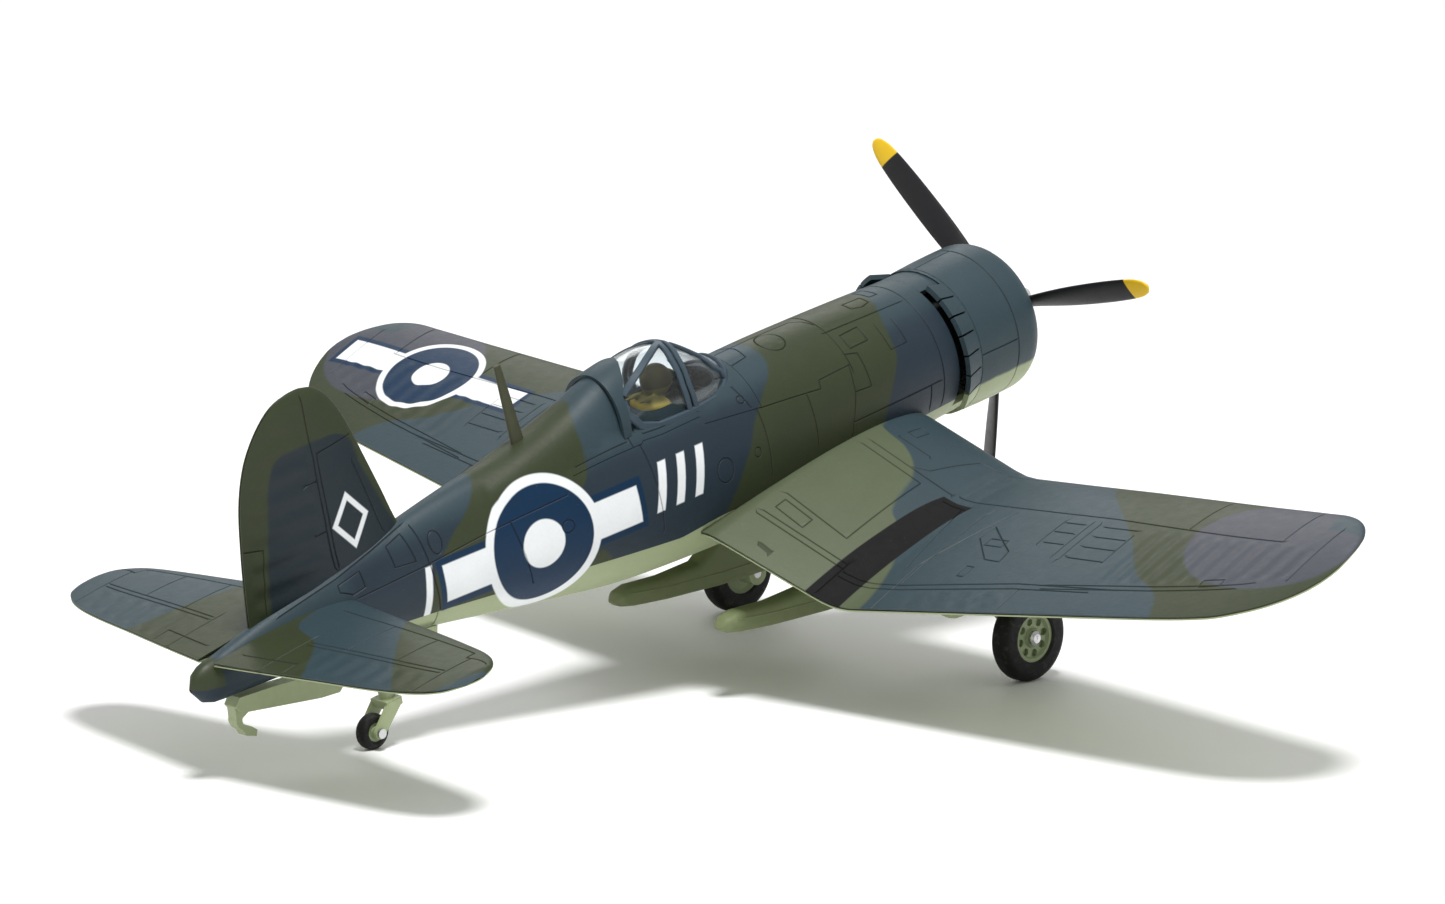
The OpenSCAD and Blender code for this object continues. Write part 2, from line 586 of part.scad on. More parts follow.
// Two well doors, and the curved door that two brackets hold in front of the leg
module gear_doors(side) {
    door_y = leg_top[0] + 0.6;
    color([0.62, 0.68, 0.50]) stand() {
        well_door(side*(well[2] - 0.7), -13.0, -21.2);
        well_door(side*(well[3] + 0.7), -14.4, -21.2);
        translate([side*leg_x, 0, 0]) {
            difference() {
                translate([0, door_y, -25.2]) cylinder(r = 3.6, h = 10.4, $fn = 48);
                translate([0, door_y, -26]) cylinder(r = 3.1, h = 12, $fn = 48);
                translate([-5, door_y - 1.8, -27]) cube([10, 10, 14]);
            }
            for (z = [-18.5, -23.5]) translate([-0.3, door_y - 3.3, z]) cube([0.6, 3.3, 0.8]);
        }
    }
}
module gear_doors_starboard() {
    gear_doors(-1);
}
module gear_doors_port() {
    gear_doors(1);
}
// Tyre with a rounded tread, turned round its own axle
module tyre_shape(r, w, rim) {
    c = w*0.38;
    turned(concat([[rim, -w/2 + 0.15], [rim + 0.3, -w/2]], arc(r - c, -w/2 + c, c, -90, 0, 6),
        arc(r - c, w/2 - c, c, 0, 90, 6), [[rim + 0.3, w/2], [rim, w/2 - 0.15]]), 96);
}
module main_tyre(side) {
    color([0.06, 0.06, 0.06]) stand() translate([side*wheel_x, main_axle[0], main_axle[1]])
        along_x() tyre_shape(tyre_r, tyre_w, hub_disc_r);
}
module tyre_starboard() {
    main_tyre(-1);
}
module tyre_port() {
    main_tyre(1);
}
module wheel_hub(side) {
    hole_count = 8;
    color([0.66, 0.70, 0.58]) stand() translate([side*wheel_x, main_axle[0], main_axle[1]])
        along_x() scale([1, 1, side]) difference() {
            turned([[0, -1.0], [1.0, -1.0], [1.2, -0.7], [hub_disc_r - 0.5, -0.7], [hub_disc_r, -1.1],
                [hub_disc_r, 1.1], [hub_disc_r - 0.4, 1.1], [hub_disc_r - 0.7, 0.7], [1.3, 0.7],
                [1.1, 1.05], [0, 1.05]], 96);
            for (i = [0:hole_count - 1]) rotate([0, 0, i*360/hole_count])
                translate([2.05, 0, 0.2]) cylinder(r = 0.48, h = 2, $fn = 32);
            translate([0, 0, -2]) cylinder(r = axle_r + run_gap, h = 4, $fn = 48);
        }
}
module wheel_hub_starboard() {
    wheel_hub(-1);
}
module wheel_hub_port() {
    wheel_hub(1);
}
// Riveted pin: fixed in the leg, with a domed head outside the wheel
module axle_pin(side) {
    color("silver") stand() translate([side*wheel_x, main_axle[0], main_axle[1]])
        scale([side, 1, 1]) along_x() {
            translate([0, 0, -tyre_w/2 - 2.6]) cylinder(r = axle_r, h = tyre_w/2 + 3.75, $fn = 48);
            translate([0, 0, 1.14]) turned([[0, 0], [1.0, 0], [0.95, 0.25], [0.6, 0.5], [0, 0.6]], 48);
        }
}
module axle_pin_starboard() {
    axle_pin(-1);
}
module axle_pin_port() {
    axle_pin(1);
}
module tail_leg() {
    fork_w = 1.15;
    color([0.62, 0.68, 0.50]) stand() difference() {
        union() {
            bar(0, [115.2, -3.6], [114.0, -11.4], 0.9);
            translate([-fork_w - 0.35, 113.0, -12.2]) cube([2*fork_w + 0.7, 2.4, 1.0]);
            for (s = [-1, 1]) hull() {
                translate([s*(fork_w + 0.2) - 0.25, 113.2, -12]) cube([0.5, 2, 0.6]);
                translate([s*(fork_w + 0.2) - 0.25, tail_axle[0], tail_axle[1]])
                    along_x() cylinder(r = 0.75, h = 0.5, $fn = 32);
            }
        }
        translate([-3, tail_axle[0], tail_axle[1]]) along_x() cylinder(r = 0.4, h = 6, $fn = 48);
    }
}
module tail_tyre() {
    color([0.06, 0.06, 0.06]) stand() translate([0, tail_axle[0], tail_axle[1]])
        along_x() tyre_shape(tail_tyre_r, 1.7, 1.15);
}
module tail_wheel_hub() {
    color([0.66, 0.70, 0.58]) stand() translate([0, tail_axle[0], tail_axle[1]]) along_x()
        difference() {
            turned([[0, -0.9], [0.7, -0.9], [0.75, -0.6], [1.15, -0.75], [1.15, 0.75], [0.75, 0.6],
                [0.7, 0.9], [0, 0.9]], 72);
            translate([0, 0, -2]) cylinder(r = 0.4 + run_gap, h = 4, $fn = 48);
        }
}
module tail_axle_pin() {
    color("silver") stand() translate([0, tail_axle[0], tail_axle[1]]) along_x() {
        translate([0, 0, -1.75]) cylinder(r = 0.4, h = 3.5, $fn = 48);
        for (s = [-1, 1]) translate([0, 0, s*1.8 - 0.15]) cylinder(r = 0.6, h = 0.3, $fn = 48);
    }
}
module tail_doors() {
    color([0.62, 0.68, 0.50]) stand() for (s = [-1, 1])
        translate([s*2.3, 0, 0]) rotate([90, 0, 90]) linear_extrude(height = 0.45, center = true)
            polygon([[106.5, -4.4], [107, -6.4], [109, -7.4], [113.6, -7.0], [114.4, -5.6], [114.4, -3.4]]);
}
module arrestor_hook() {
    color([0.66, 0.72, 0.50]) stand() rotate([90, 0, 90]) {
        linear_extrude(height = 2.2, center = true)
            polygon([[120.2, -2.9], [120.4, -6.4], [121.6, -7.4], [124.5, -7.0], [136.4, -4.2],
                [137.0, -3.2], [136.2, -2.3], [131, -2.9], [124, -4.0], [123.2, -2.8]]);
        linear_extrude(height = 1.5, center = true)
            polygon(concat([[134.4, -3.6], [136.9, -3.4]], arc(135.6, -5.2, 1.5, 20, -60, 5),
                [[136.0, -7.3], [134.6, -7.9], [134.3, -7.2], [135.0, -6.5]],
                arc(135.5, -5.4, 0.7, -70, 30, 4), [[134.6, -4.4]]));
    }
}

// ===== Under the centre section =================================================================
pylon_x = 9.7;
// Centre-section stores pylon: deep root at the front, long round-tailed body behind
module pylon(side) {
    outline = concat([[33.6, -8.5], [32.6, -15], [33.6, -20.6], [36.4, -23.3], [42, -23.6], [52, -22.4],
        [66.4, -19.6]], arc(67.9, -18.1, 1.5, -80, 80, 6), [[66.4, -16.8], [55, -18.2], [50.5, -15.6],
        [48.5, -10.5]]);
    color([0.62, 0.68, 0.50]) stand() joined() difference() {
        translate([side*pylon_x, 0, 0]) rotate([90, 0, 90]) for (k = [-1, 1]) scale([1, 1, k])
            for (lay = [[0, 0.9, 0], [0.9, 0.35, 0.3], [1.25, 0.25, 0.75]])
                translate([0, 0, lay[0]]) linear_extrude(height = lay[1] + 0.001)
                    offset(delta = -lay[2]) polygon(outline);
        wing_solid();
        body_solid(-0.05);
    }
}
module pylon_starboard() {
    pylon(-1);
}
module pylon_port() {
    pylon(1);
}
// Plug in the belly with the blind bore that takes a display stand's peg
module stand_socket() {
    color([0.62, 0.68, 0.50]) stand() upright(socket_y, socket_bottom) difference() {
        cylinder(r = socket_outer_r, h = socket_depth + 1.6, $fn = 64);
        translate([0, 0, -1]) cylinder(r = socket_r, h = socket_depth + 1, $fn = 64);
    }
}
screw_y = [27.5, 92];
module belly_screws() {
    heads = [-9.3, -7.6];
    color("silver") stand() for (i = [0, 1]) translate([0, screw_y[i], heads[i]]) difference() {
        union() {
            cylinder(r = 1.3, h = 0.8, $fn = 48);
            cylinder(r = 0.7, h = 4.5, $fn = 48);
        }
        for (a = [0, 90]) rotate([0, 0, a]) translate([-0.9, -0.15, -0.1]) cube([1.8, 0.3, 0.5]);
    }
}

upper_fuselage();
wing_and_belly();
fin_and_rudder();
tailplane_starboard();
tailplane_port();
cockpit_deck();
canopy_glass();
canopy_frame();
cockpit_tub();
pilot_seat();
pilot_figure();
instrument_panel();
control_stick();
gunsight();
antenna_mast();
cowling();
cowl_flaps();
engine_bulkhead();
crankcase();
front_cylinders();
rear_cylinders();
prop_blades();
prop_hub();
prop_pin();
main_leg_starboard();
main_leg_port();
gear_doors_starboard();
gear_doors_port();
tyre_starboard();
tyre_port();
wheel_hub_starboard();
wheel_hub_port();
axle_pin_starboard();
axle_pin_port();
tail_leg();
tail_tyre();
tail_wheel_hub();
tail_axle_pin();
tail_doors();
arrestor_hook();
pylon_starboard();
pylon_port();
stand_socket();
belly_screws();
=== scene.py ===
"""Die-cast display model of a gull-winged naval fighter, shown standing on its wheels in a plain studio."""
import json
import math

import bmesh
import bpy
import numpy as np
from mathutils import Matrix, Vector
from mathutils.geometry import delaunay_2d_cdt


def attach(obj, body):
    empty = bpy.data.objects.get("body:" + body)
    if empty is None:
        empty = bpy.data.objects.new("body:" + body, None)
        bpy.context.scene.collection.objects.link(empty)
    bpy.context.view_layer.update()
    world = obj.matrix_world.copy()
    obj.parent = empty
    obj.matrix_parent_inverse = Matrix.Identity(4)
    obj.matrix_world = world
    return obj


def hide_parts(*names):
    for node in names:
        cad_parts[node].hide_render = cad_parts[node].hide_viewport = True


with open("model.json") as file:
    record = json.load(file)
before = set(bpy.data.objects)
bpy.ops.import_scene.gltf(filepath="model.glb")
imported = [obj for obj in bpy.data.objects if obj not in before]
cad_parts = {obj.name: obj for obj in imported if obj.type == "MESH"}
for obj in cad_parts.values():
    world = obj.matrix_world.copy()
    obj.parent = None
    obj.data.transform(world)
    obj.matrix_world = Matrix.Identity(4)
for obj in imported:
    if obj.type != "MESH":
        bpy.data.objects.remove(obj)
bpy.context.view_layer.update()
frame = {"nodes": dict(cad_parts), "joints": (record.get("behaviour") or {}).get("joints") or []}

# ===== Aircraft axes ============================================================================
# X to port, Y aft from the propeller hub's nose, Z up from the thrust line, all in millimetres.
PROP_Y = 4.9
SPIN = [j for j in frame["joints"] if j["name"] == "prop_spin"][0]
COS, SIN = SPIN["axis"][1], -SPIN["axis"][2]
MID_Y = SPIN["pos_m"][1] * 1000 - PROP_Y * COS
DROP = SPIN["pos_m"][2] * 1000 + PROP_Y * SIN


def to_frame(p):
    """Aircraft millimetres to the metres of the standing model."""
    p = np.asarray(p, float)
    x, y, z = p[..., 0], p[..., 1], p[..., 2]
    return np.stack([x, y * COS + z * SIN + MID_Y, -y * SIN + z * COS + DROP], -1) / 1000


def turn_to_frame(n):
    """Aircraft directions to the standing model's."""
    n = np.asarray(n, float)
    x, y, z = n[..., 0], n[..., 1], n[..., 2]
    return np.stack([x, y * COS + z * SIN, -y * SIN + z * COS], -1)


# ===== Sections =================================================================================
# Fuselage: y, half width, top, bottom, height of the widest point
BODY = [[18.6, 9.3, 9.5, -9.2, 0], [23.0, 9.3, 9.6, -9.4, 0], [30.5, 9.4, 10.0, -10.0, 0],
        [38.9, 9.3, 10.4, -10.8, 0], [47.2, 9.1, 10.7, -11.7, 0], [55.5, 8.9, 10.8, -12.0, 0],
        [63.9, 8.5, 11.1, -11.7, 0], [72.2, 7.9, 11.4, -11.1, 0], [79.2, 7.2, 11.6, -10.3, 0],
        [86.7, 6.4, 11.4, -8.9, 0.3], [97.2, 5.0, 10.7, -6.9, 0.6], [107.6, 3.8, 9.3, -4.9, 0.8],
        [119.4, 2.8, 7.2, -3.4, 1.2], [130.6, 2.1, 5.1, -2.4, 1.2], [138.2, 1.8, 3.5, -1.9, 0.8]]
# Seam between the upper and lower castings: y, height
SEAM = [[18.6, -5.4], [23.0, -5.4], [64.0, -5.6], [70.0, -6.3], [106.3, -2.5], [138.2, 0.2], [142.3, 0.6]]
# Fairing behind the cockpit: y, half width, top
SPINE = [[71.6, 4.8, 15.8], [75.0, 4.9, 15.3], [79.2, 5.0, 14.0], [84.0, 5.0, 12.7], [89.0, 4.8, 11.7],
         [96.0, 4.4, 10.2]]
# Wing: distance out, y of the leading and trailing edges, z of both, thickness ratio
WING = [[0, 28.0, 67.2, -5.6, -6.4, 0.15], [8.6, 28.0, 66.9, -6.2, -7.0, 0.16],
        [25.4, 28.0, 63.9, -12.1, -14.9, 0.165], [50, 29.9, 60.2, -9.0, -12.6, 0.14],
        [70, 31.6, 57.2, -6.6, -10.7, 0.12], [80, 32.4, 55.2, -5.4, -9.6, 0.115],
        [84, 32.9, 53.2, -4.9, -8.9, 0.11], [87, 34.4, 50.8, -4.7, -8.2, 0.105],
        [89.2, 36.8, 48.0, -4.8, -7.4, 0.1], [90.4, 39.4, 45.4, -5.0, -6.6, 0.095],
        [90.8, 41.2, 43.6, -5.3, -6.0, 0.09]]
# Fin and rudder: height, y of the leading and trailing edges
FIN = [[2.4, 104.6, 132.4], [5.0, 105.6, 132.2], [9.2, 107.8, 131.8], [13.9, 109.3, 131.2],
       [19.4, 111.1, 130.2], [23.6, 112.5, 128.6], [26.4, 113.8, 126.6], [28.5, 115.3, 124.3],
       [29.6, 116.8, 122.3], [30.0, 118.4, 120.4]]
# Tailplane: distance out, y of the leading and trailing edges
STAB = [[0.5, 117.7, 139.3], [8.3, 118.8, 138.2], [16.7, 119.9, 136.9], [26.4, 121.3, 135.4],
        [31.3, 122.4, 134.0], [34.0, 124.3, 132.2], [35.4, 127.0, 129.8]]
STAB_Z = 3.1
# Canopy, and the hood that it slides under: y, half width, top
CANOPY = [[54.6, 1.6, 10.7], [56.2, 3.7, 11.7], [58.6, 4.9, 13.2], [61.0, 5.4, 14.8], [62.6, 5.6, 15.7],
          [63.8, 5.6, 16.0], [66.5, 5.6, 16.2], [69.5, 5.3, 15.9], [71.5, 5.0, 15.4], [74.2, 4.9, 14.7]]
HOOD = [[69.0, 5.0, 16.6], [72.0, 5.2, 16.3], [75.0, 5.35, 15.7], [78.5, 5.4, 14.5]]
SILL_Z = 9.2                        # height of the cockpit's side
EDGE_T = 0.4                        # thickness of wing and tail at the trailing edge
BODY_END, TAIL_TIP = 138.2, 142.2   # last fuselage row, and the end of the rounded tail


def linear_row(rows, s):
    """Straight lines through the rows."""
    rows = np.array(rows, float)
    s = np.asarray(s, float)
    return np.stack([np.interp(s, rows[:, 0], rows[:, k]) for k in range(rows.shape[1])], -1)


def smooth_row(rows, s):
    """Smooth cubic through the rows, the same curve as the castings'."""
    rows = np.array(rows, float)
    s = np.clip(np.asarray(s, float), rows[0, 0], rows[-1, 0])
    i = np.clip(np.searchsorted(rows[:, 0], s, side="right") - 1, 0, len(rows) - 2)
    a, b = rows[i], rows[i + 1]
    before, after = rows[np.maximum(i - 1, 0)], rows[np.minimum(i + 2, len(rows) - 1)]
    h = (b[..., 0] - a[..., 0])[..., None]
    slope_a = (b - before) * h / (b[..., 0] - before[..., 0])[..., None]
    slope_b = (after - a) * h / (after[..., 0] - a[..., 0])[..., None]
    t = (s[..., None] - a[..., 0:1]) / h
    return (a * (2 * t**3 - 3 * t**2 + 1) + slope_a * (t**3 - 2 * t**2 + t)
            + b * (3 * t**2 - 2 * t**3) + slope_b * (t**3 - t**2))


def section_half(u):
    """Half thickness of a round-nosed section at the chord fraction u, for a thickness of 1."""
    u = np.clip(u, 0, 1)
    return 5 * (0.2969 * np.sqrt(u) - 0.126 * u - 0.3516 * u**2 + 0.2843 * u**3 - 0.1015 * u**4)


# Share of a section's outline passed at each chord fraction, so that sheets are cut to length
CHORD = (1 - np.cos(np.linspace(0, np.pi, 400))) / 2
OUTLINE = np.concatenate([[0], np.cumsum(np.hypot(np.diff(CHORD), np.diff(0.14 * section_half(CHORD))))])
OUTLINE /= OUTLINE[-1]


def chord_to_run(u):
    return np.interp(u, CHORD, OUTLINE)


def run_to_chord(v):
    return np.interp(v, OUTLINE, CHORD)


# ===== Sheet builder ============================================================================
EPS = 0.02                              # half step of the derivatives on the (u, v) plane
GROOVE_WIDTH, GROOVE_DEPTH = 0.28, 0.1  # of a panel line, in millimetres


class Sheet:
    """Gathers patches of skin in aircraft millimetres and turns them into one mesh object.

    Each point carries two marks for the paint: how deep it lies in a groove, which the paint darkens as
    painted shade, and 1 on an underside.
    """

    def __init__(self):
        self.verts, self.tris, self.normals, self.marks, self.under = [], [], [], [], []
        self.count = 0

    def add(self, verts, tris, corner_normals, mark, under):
        """Adds triangles with a normal for each of their corners."""
        self.verts.append(verts)
        self.tris.append(tris + self.count)
        self.normals.append(corner_normals)
        self.marks.append(mark)
        self.under.append(np.full(len(verts), float(under)))
        self.count += len(verts)

    def add_flat(self, verts, tris, under=0.0):
        """Adds triangles that are shaded flat."""
        verts, tris = np.array(verts, float), np.array(tris, int)
        n = face_normals(verts, tris)
        self.add(verts, tris, np.repeat(n[:, None], 3, 1), np.zeros(len(verts)), under)

    def finish(self, name, material, body="airframe", replaces=(), slot=None):
        """Makes the object from everything added."""
        verts, tris = to_frame(np.concatenate(self.verts)), np.concatenate(self.tris)
        mesh = bpy.data.meshes.new(name)
        mesh.from_pydata(verts.tolist(), [], tris.tolist())
        normals = turn_to_frame(np.concatenate(self.normals)).reshape(-1, 3)
        mesh.polygons.foreach_set("use_smooth", np.ones(len(tris), bool))
        mesh.normals_split_custom_set(normals.tolist())
        for key, values in (("groove", self.marks), ("under", self.under)):
            layer = mesh.attributes.new(key, "FLOAT", "POINT")
            layer.data.foreach_set("value", np.concatenate(values).astype(np.float32))
        return place(name, mesh, material, body, replaces)


def place(name, mesh, material, body="airframe", replaces=()):
    """Puts a mesh in the scene, on a body, in place of CAD nodes and with a paint slot."""
    obj = bpy.data.objects.new(name, mesh)
    bpy.context.scene.collection.objects.link(obj)
    mesh.materials.append(material)
    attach(obj, body)
    if replaces:
        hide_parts(*replaces)
    return obj


def unit(vectors):
    return vectors / np.maximum(np.linalg.norm(vectors, axis=-1), 1e-12)[..., None]


def face_crosses(verts, tris):
    """Normals of triangles, as long as twice the area."""
    return np.cross(verts[tris[:, 1]] - verts[tris[:, 0]], verts[tris[:, 2]] - verts[tris[:, 0]])


def face_normals(verts, tris):
    return unit(face_crosses(verts, tris))


def vertex_normals(verts, tris, face_n):
    """Unit normals of the points, from the normals of the faces around each."""
    total = np.zeros_like(verts)
    for j in range(3):
        np.add.at(total, tris[:, j], face_n)
    return unit(total)


def normals_of(point, u, v, outward):
    """Unit normals of a surface that is given over the (u, v) plane."""
    n = np.cross(point(u + EPS, v) - point(u - EPS, v), point(u, v + EPS) - point(u, v - EPS))
    return outward * unit(n)


def rim_edges(tris):
    """Edges that belong to one triangle only."""
    pairs = np.concatenate([tris[:, [0, 1]], tris[:, [1, 2]], tris[:, [2, 0]]])
    _, index, counts = np.unique(np.sort(pairs, 1), axis=0, return_index=True, return_counts=True)
    return pairs[index[counts == 1]]


def tube(m, n):
    """Triangles of the skin through m rings of n points."""
    tris = []
    for a in range((m - 1) * n):
        b = a + 1 if (a + 1) % n else a + 1 - n
        tris += [[a, b, a + n], [b, b + n, a + n]]
    return tris


def tube_ends(m, n):
    """Triangles that close the first and the last of m rings of n points."""
    last = (m - 1) * n
    return [t for j in range(1, n - 1) for t in ([0, j + 1, j], [last, last + j, last + j + 1])]


def resample(line, step):
    """Points along a polyline of [u, v] pairs, no further apart than the step."""
    out = [np.array(line[0], float)]
    for a, b in zip(line[:-1], line[1:]):
        a, b = np.array(a, float), np.array(b, float)
        n = max(1, int(math.ceil(np.linalg.norm(b - a) / step)))
        out += [a + (b - a) * k / n for k in range(1, n + 1)]
    return np.array(out)


def inside(points, polygon):
    """Which points lie in a closed polygon."""
    x, y = points[:, 0], points[:, 1]
    hit = np.zeros(len(points), bool)
    poly = np.array(polygon, float)
    for (x0, y0), (x1, y1) in zip(poly, np.roll(poly, -1, 0)):
        cross = ((y0 > y) != (y1 > y)) & (x < (x1 - x0) * (y - y0) / ((y1 - y0) or 1e-12) + x0)
        hit ^= cross
    return hit


def patch(sheet, point, us, vs, lines=(), holes=(), keep=None, thick=0.5, outward=1, under=0.0,
          relief=None, facing=None):
    """Adds one piece of skin: a sheet over the (u, v) plane with grooves cut along the lines.

    point gives millimetres for plane coordinates. A line is a list of [u, v] or (list, width, depth).
    Holes are closed outlines left out of the sheet. The sheet gets an inner face and closed rims.
    """
    def shape(u, v):
        p = point(u, v)
        return p if relief is None else p + normals_of(point, u, v, outward) * relief(u, v)[..., None]

    def per_mm(q):
        """Plane steps along u and v that measure a millimetre on the skin."""
        u, v = q[:, 0], q[:, 1]
        du = np.linalg.norm(point(u + EPS, v) - point(u - EPS, v), axis=-1) / (2 * EPS)
        dv = np.linalg.norm(point(u, v + EPS) - point(u, v - EPS), axis=-1) / (2 * EPS)
        return 1 / np.maximum(np.stack([du, dv], -1), 0.05)

    u0, u1, v0, v1 = us[0], us[-1], vs[0], vs[-1]
    grooves = []
    for line in lines:
        path, width, depth = line if isinstance(line, tuple) else (line, GROOVE_WIDTH, GROOVE_DEPTH)
        run = resample(path, 0.8)
        if len(run) > 1:
            grooves.append((run, width / 2, depth))
    points, edges = [], []

    def chain(run, closed=False):
        """A run of points whose steps become edges of the sheet."""
        first = len(points)
        points.extend(run.tolist())
        edges.extend([first + k, first + k + 1] for k in range(len(run) - 1))
        if closed:
            edges.append([first + len(run) - 1, first])

    border = ([[u, v0] for u in us] + [[u1, v] for v in vs[1:]] + [[u, v1] for u in us[::-1][1:]]
              + [[u0, v] for v in vs[::-1][1:-1]])
    chain(np.array(border, float), True)
    for hole in holes:
        chain(resample(list(hole) + [hole[0]], 0.7)[:-1], True)
    for run, half, _ in grooves:
        scale = per_mm(run)
        d = unit(np.gradient(run, axis=0) / scale)
        off = np.stack([-d[:, 1], d[:, 0]], -1) * scale * half
        for k in (-1, 0, 1):
            chain(run + off * k)
    gu, gv = np.meshgrid(us[1:-1], vs[1:-1], indexing="ij")
    grid = np.stack([gu.ravel(), gv.ravel()], -1)

    def distances(q):
        """Depth of each point in the grooves, and whether it is close to one."""
        scale = per_mm(q)
        cut, near = np.zeros(len(q)), np.zeros(len(q), bool)
        for run, half, depth in grooves:
            idx = np.nonzero(((q > run.min(0) - 4) & (q < run.max(0) + 4)).all(1))[0]
            if not len(idx):
                continue
            p, s = q[idx], scale[idx]
            best = np.full(len(idx), 1e9)
            for a, b in zip(run[:-1], run[1:]):
                ab, ap = (b - a) / s, (p - a) / s
                t = np.clip((ap * ab).sum(1) / np.maximum((ab * ab).sum(1), 1e-12), 0, 1)
                best = np.minimum(best, np.linalg.norm(ap - ab * t[:, None], axis=1))
            cut[idx] = np.maximum(cut[idx], depth * np.clip(1 - best / half, 0, 1))
            near[idx] |= best < half + 0.13
        return cut, near

    grid = grid[~distances(grid)[1]]
    points.extend(grid.tolist())
    out = delaunay_2d_cdt([Vector(p) for p in points], edges, [], 0, 1e-4)
    plane = np.array([[p.x, p.y] for p in out[0]])
    tris = np.array([f for f in out[2] if len(f) == 3], int)
    mid = plane[tris].mean(1)
    ok = (mid[:, 0] > u0) & (mid[:, 0] < u1) & (mid[:, 1] > v0) & (mid[:, 1] < v1)
    for hole in holes:
        ok &= ~inside(mid, hole)
    if keep is not None:
        ok &= keep(mid)
    area = np.abs(face_crosses(plane, tris))
    tris = tris[ok & (area > 1e-9)]
    used, tris = np.unique(tris, return_inverse=True)
    tris = tris.reshape(-1, 3)
    plane = plane[used]
    u, v = plane[:, 0], plane[:, 1]
    base = shape(u, v)
    n = normals_of(shape, u, v, outward)
    if facing is not None:
        n *= np.where(n @ np.array(facing, float) < 0, -1.0, 1.0)[:, None]
    cut = distances(plane)[0]
    verts = base - n * cut[:, None]
    fn = face_normals(verts, tris)
    flip = (fn * n[tris].mean(1)).sum(1) < 0
    tris[flip] = tris[flip][:, ::-1]
    fn[flip] *= -1
    in_cut = (cut[tris] > 1e-4).any(1)
    corner = np.where(in_cut[:, None, None], np.repeat(fn[:, None], 3, 1), n[tris])
    mark = np.clip(cut / GROOVE_DEPTH, 0, 1)
    inner = base - n * thick
    m = len(verts)
    rim = rim_edges(tris)
    strip = np.concatenate([np.stack([rim[:, 0], rim[:, 0] + m, rim[:, 1]], 1),
                            np.stack([rim[:, 1], rim[:, 0] + m, rim[:, 1] + m], 1)])
    both = np.concatenate([verts, inner])
    rim_normals = np.repeat(face_normals(both, strip)[:, None], 3, 1)
    sheet.add(both, np.concatenate([tris, tris[:, ::-1] + m, strip]),
              np.concatenate([corner, -n[tris[:, ::-1]], rim_normals]), np.tile(mark, 2), under)


def loft(sheet, rings, under=0.0):
    """Closed skin through rings of points, smooth all over."""
    rings = np.array(rings, float)
    m, n = rings.shape[:2]
    verts = np.concatenate([rings.reshape(-1, 3), [rings[0].mean(0)], [rings[-1].mean(0)]])
    tris = tube(m, n)
    for j in range(n):
        tris += [[m * n, (j + 1) % n, j], [m * n + 1, (m - 1) * n + j, (m - 1) * n + (j + 1) % n]]
    tris = np.array(tris)
    crosses = face_crosses(verts, tris)
    if (crosses * (verts[tris].mean(1) - verts.mean(0))).sum() < 0:
        tris, crosses = tris[:, ::-1], -crosses
    sheet.add(verts, tris, vertex_normals(verts, tris, crosses)[tris], np.zeros(len(verts)), under)


# ===== Node maths ===============================================================================
TREE = None


class N:
    """A number inside the current material's node tree."""

    def __init__(self, value):
        self.value = value.value if isinstance(value, N) else value

    def __add__(self, o): return math_node("ADD", self, o)
    def __radd__(self, o): return math_node("ADD", o, self)
    def __sub__(self, o): return math_node("SUBTRACT", self, o)
    def __rsub__(self, o): return math_node("SUBTRACT", o, self)
    def __mul__(self, o): return math_node("MULTIPLY", self, o)
    def __rmul__(self, o): return math_node("MULTIPLY", o, self)


def plug(socket, value):
    """Links a node's output to a socket, or sets the socket to a plain value."""
    value = value.value if isinstance(value, N) else value
    if isinstance(value, bpy.types.NodeSocket):
        TREE.links.new(value, socket)
    else:
        socket.default_value = value


def new(kind, **settings):
    """A new node in the current material."""
    node = TREE.nodes.new(kind)
    for k, v in settings.items():
        setattr(node, k, v)
    return node


def math_node(op, a, b=0.0):
    """The result of one operation on two numbers."""
    node = new("ShaderNodeMath", operation=op)
    plug(node.inputs[0], a)
    plug(node.inputs[1], b)
    return N(node.outputs[0])


def mx(first, *others):
    for other in others:
        first = math_node("MAXIMUM", first, other)
    return first


def ab(a):
    return math_node("ABSOLUTE", a)


def root(a):
    return math_node("SQRT", a)


def rise(low, high, x):
    """0 below low, 1 above high, smooth between."""
    node = new("ShaderNodeMapRange", interpolation_type="SMOOTHSTEP")
    plug(node.inputs["Value"], x)
    node.inputs["From Min"].default_value = low
    node.inputs["From Max"].default_value = high
    return N(node.outputs[0])


def noise(vector, scale, detail=2.0, rough=0.5):
    """Cloudy noise around 0.5, with the scale in waves per millimetre."""
    node = new("ShaderNodeTexNoise")
    plug(node.inputs["Vector"], vector)
    node.inputs["Scale"].default_value = scale
    node.inputs["Detail"].default_value = detail
    node.inputs["Roughness"].default_value = rough
    return N(node.outputs[0])


def curve(t, points):
    """A smooth boundary: the value at t of a curve through (t, value) points."""
    t0, t1 = points[0][0], points[-1][0]
    lo, hi = min(p[1] for p in points) - 1, max(p[1] for p in points) + 1
    node = new("ShaderNodeFloatCurve")
    c = node.mapping.curves[0]
    for k, (x, y) in enumerate(points):
        at = ((x - t0) / (t1 - t0), (y - lo) / (hi - lo))
        if k in (0, len(points) - 1):
            c.points[0 if k == 0 else len(c.points) - 1].location = at
        else:
            c.points.new(*at)
    node.mapping.update()
    share = math_node("MINIMUM", (t - t0) * (1.0 / (t1 - t0)), 1.0)
    plug(node.inputs["Value"], mx(share, 0.0))
    return N(node.outputs[0]) * (hi - lo) + lo


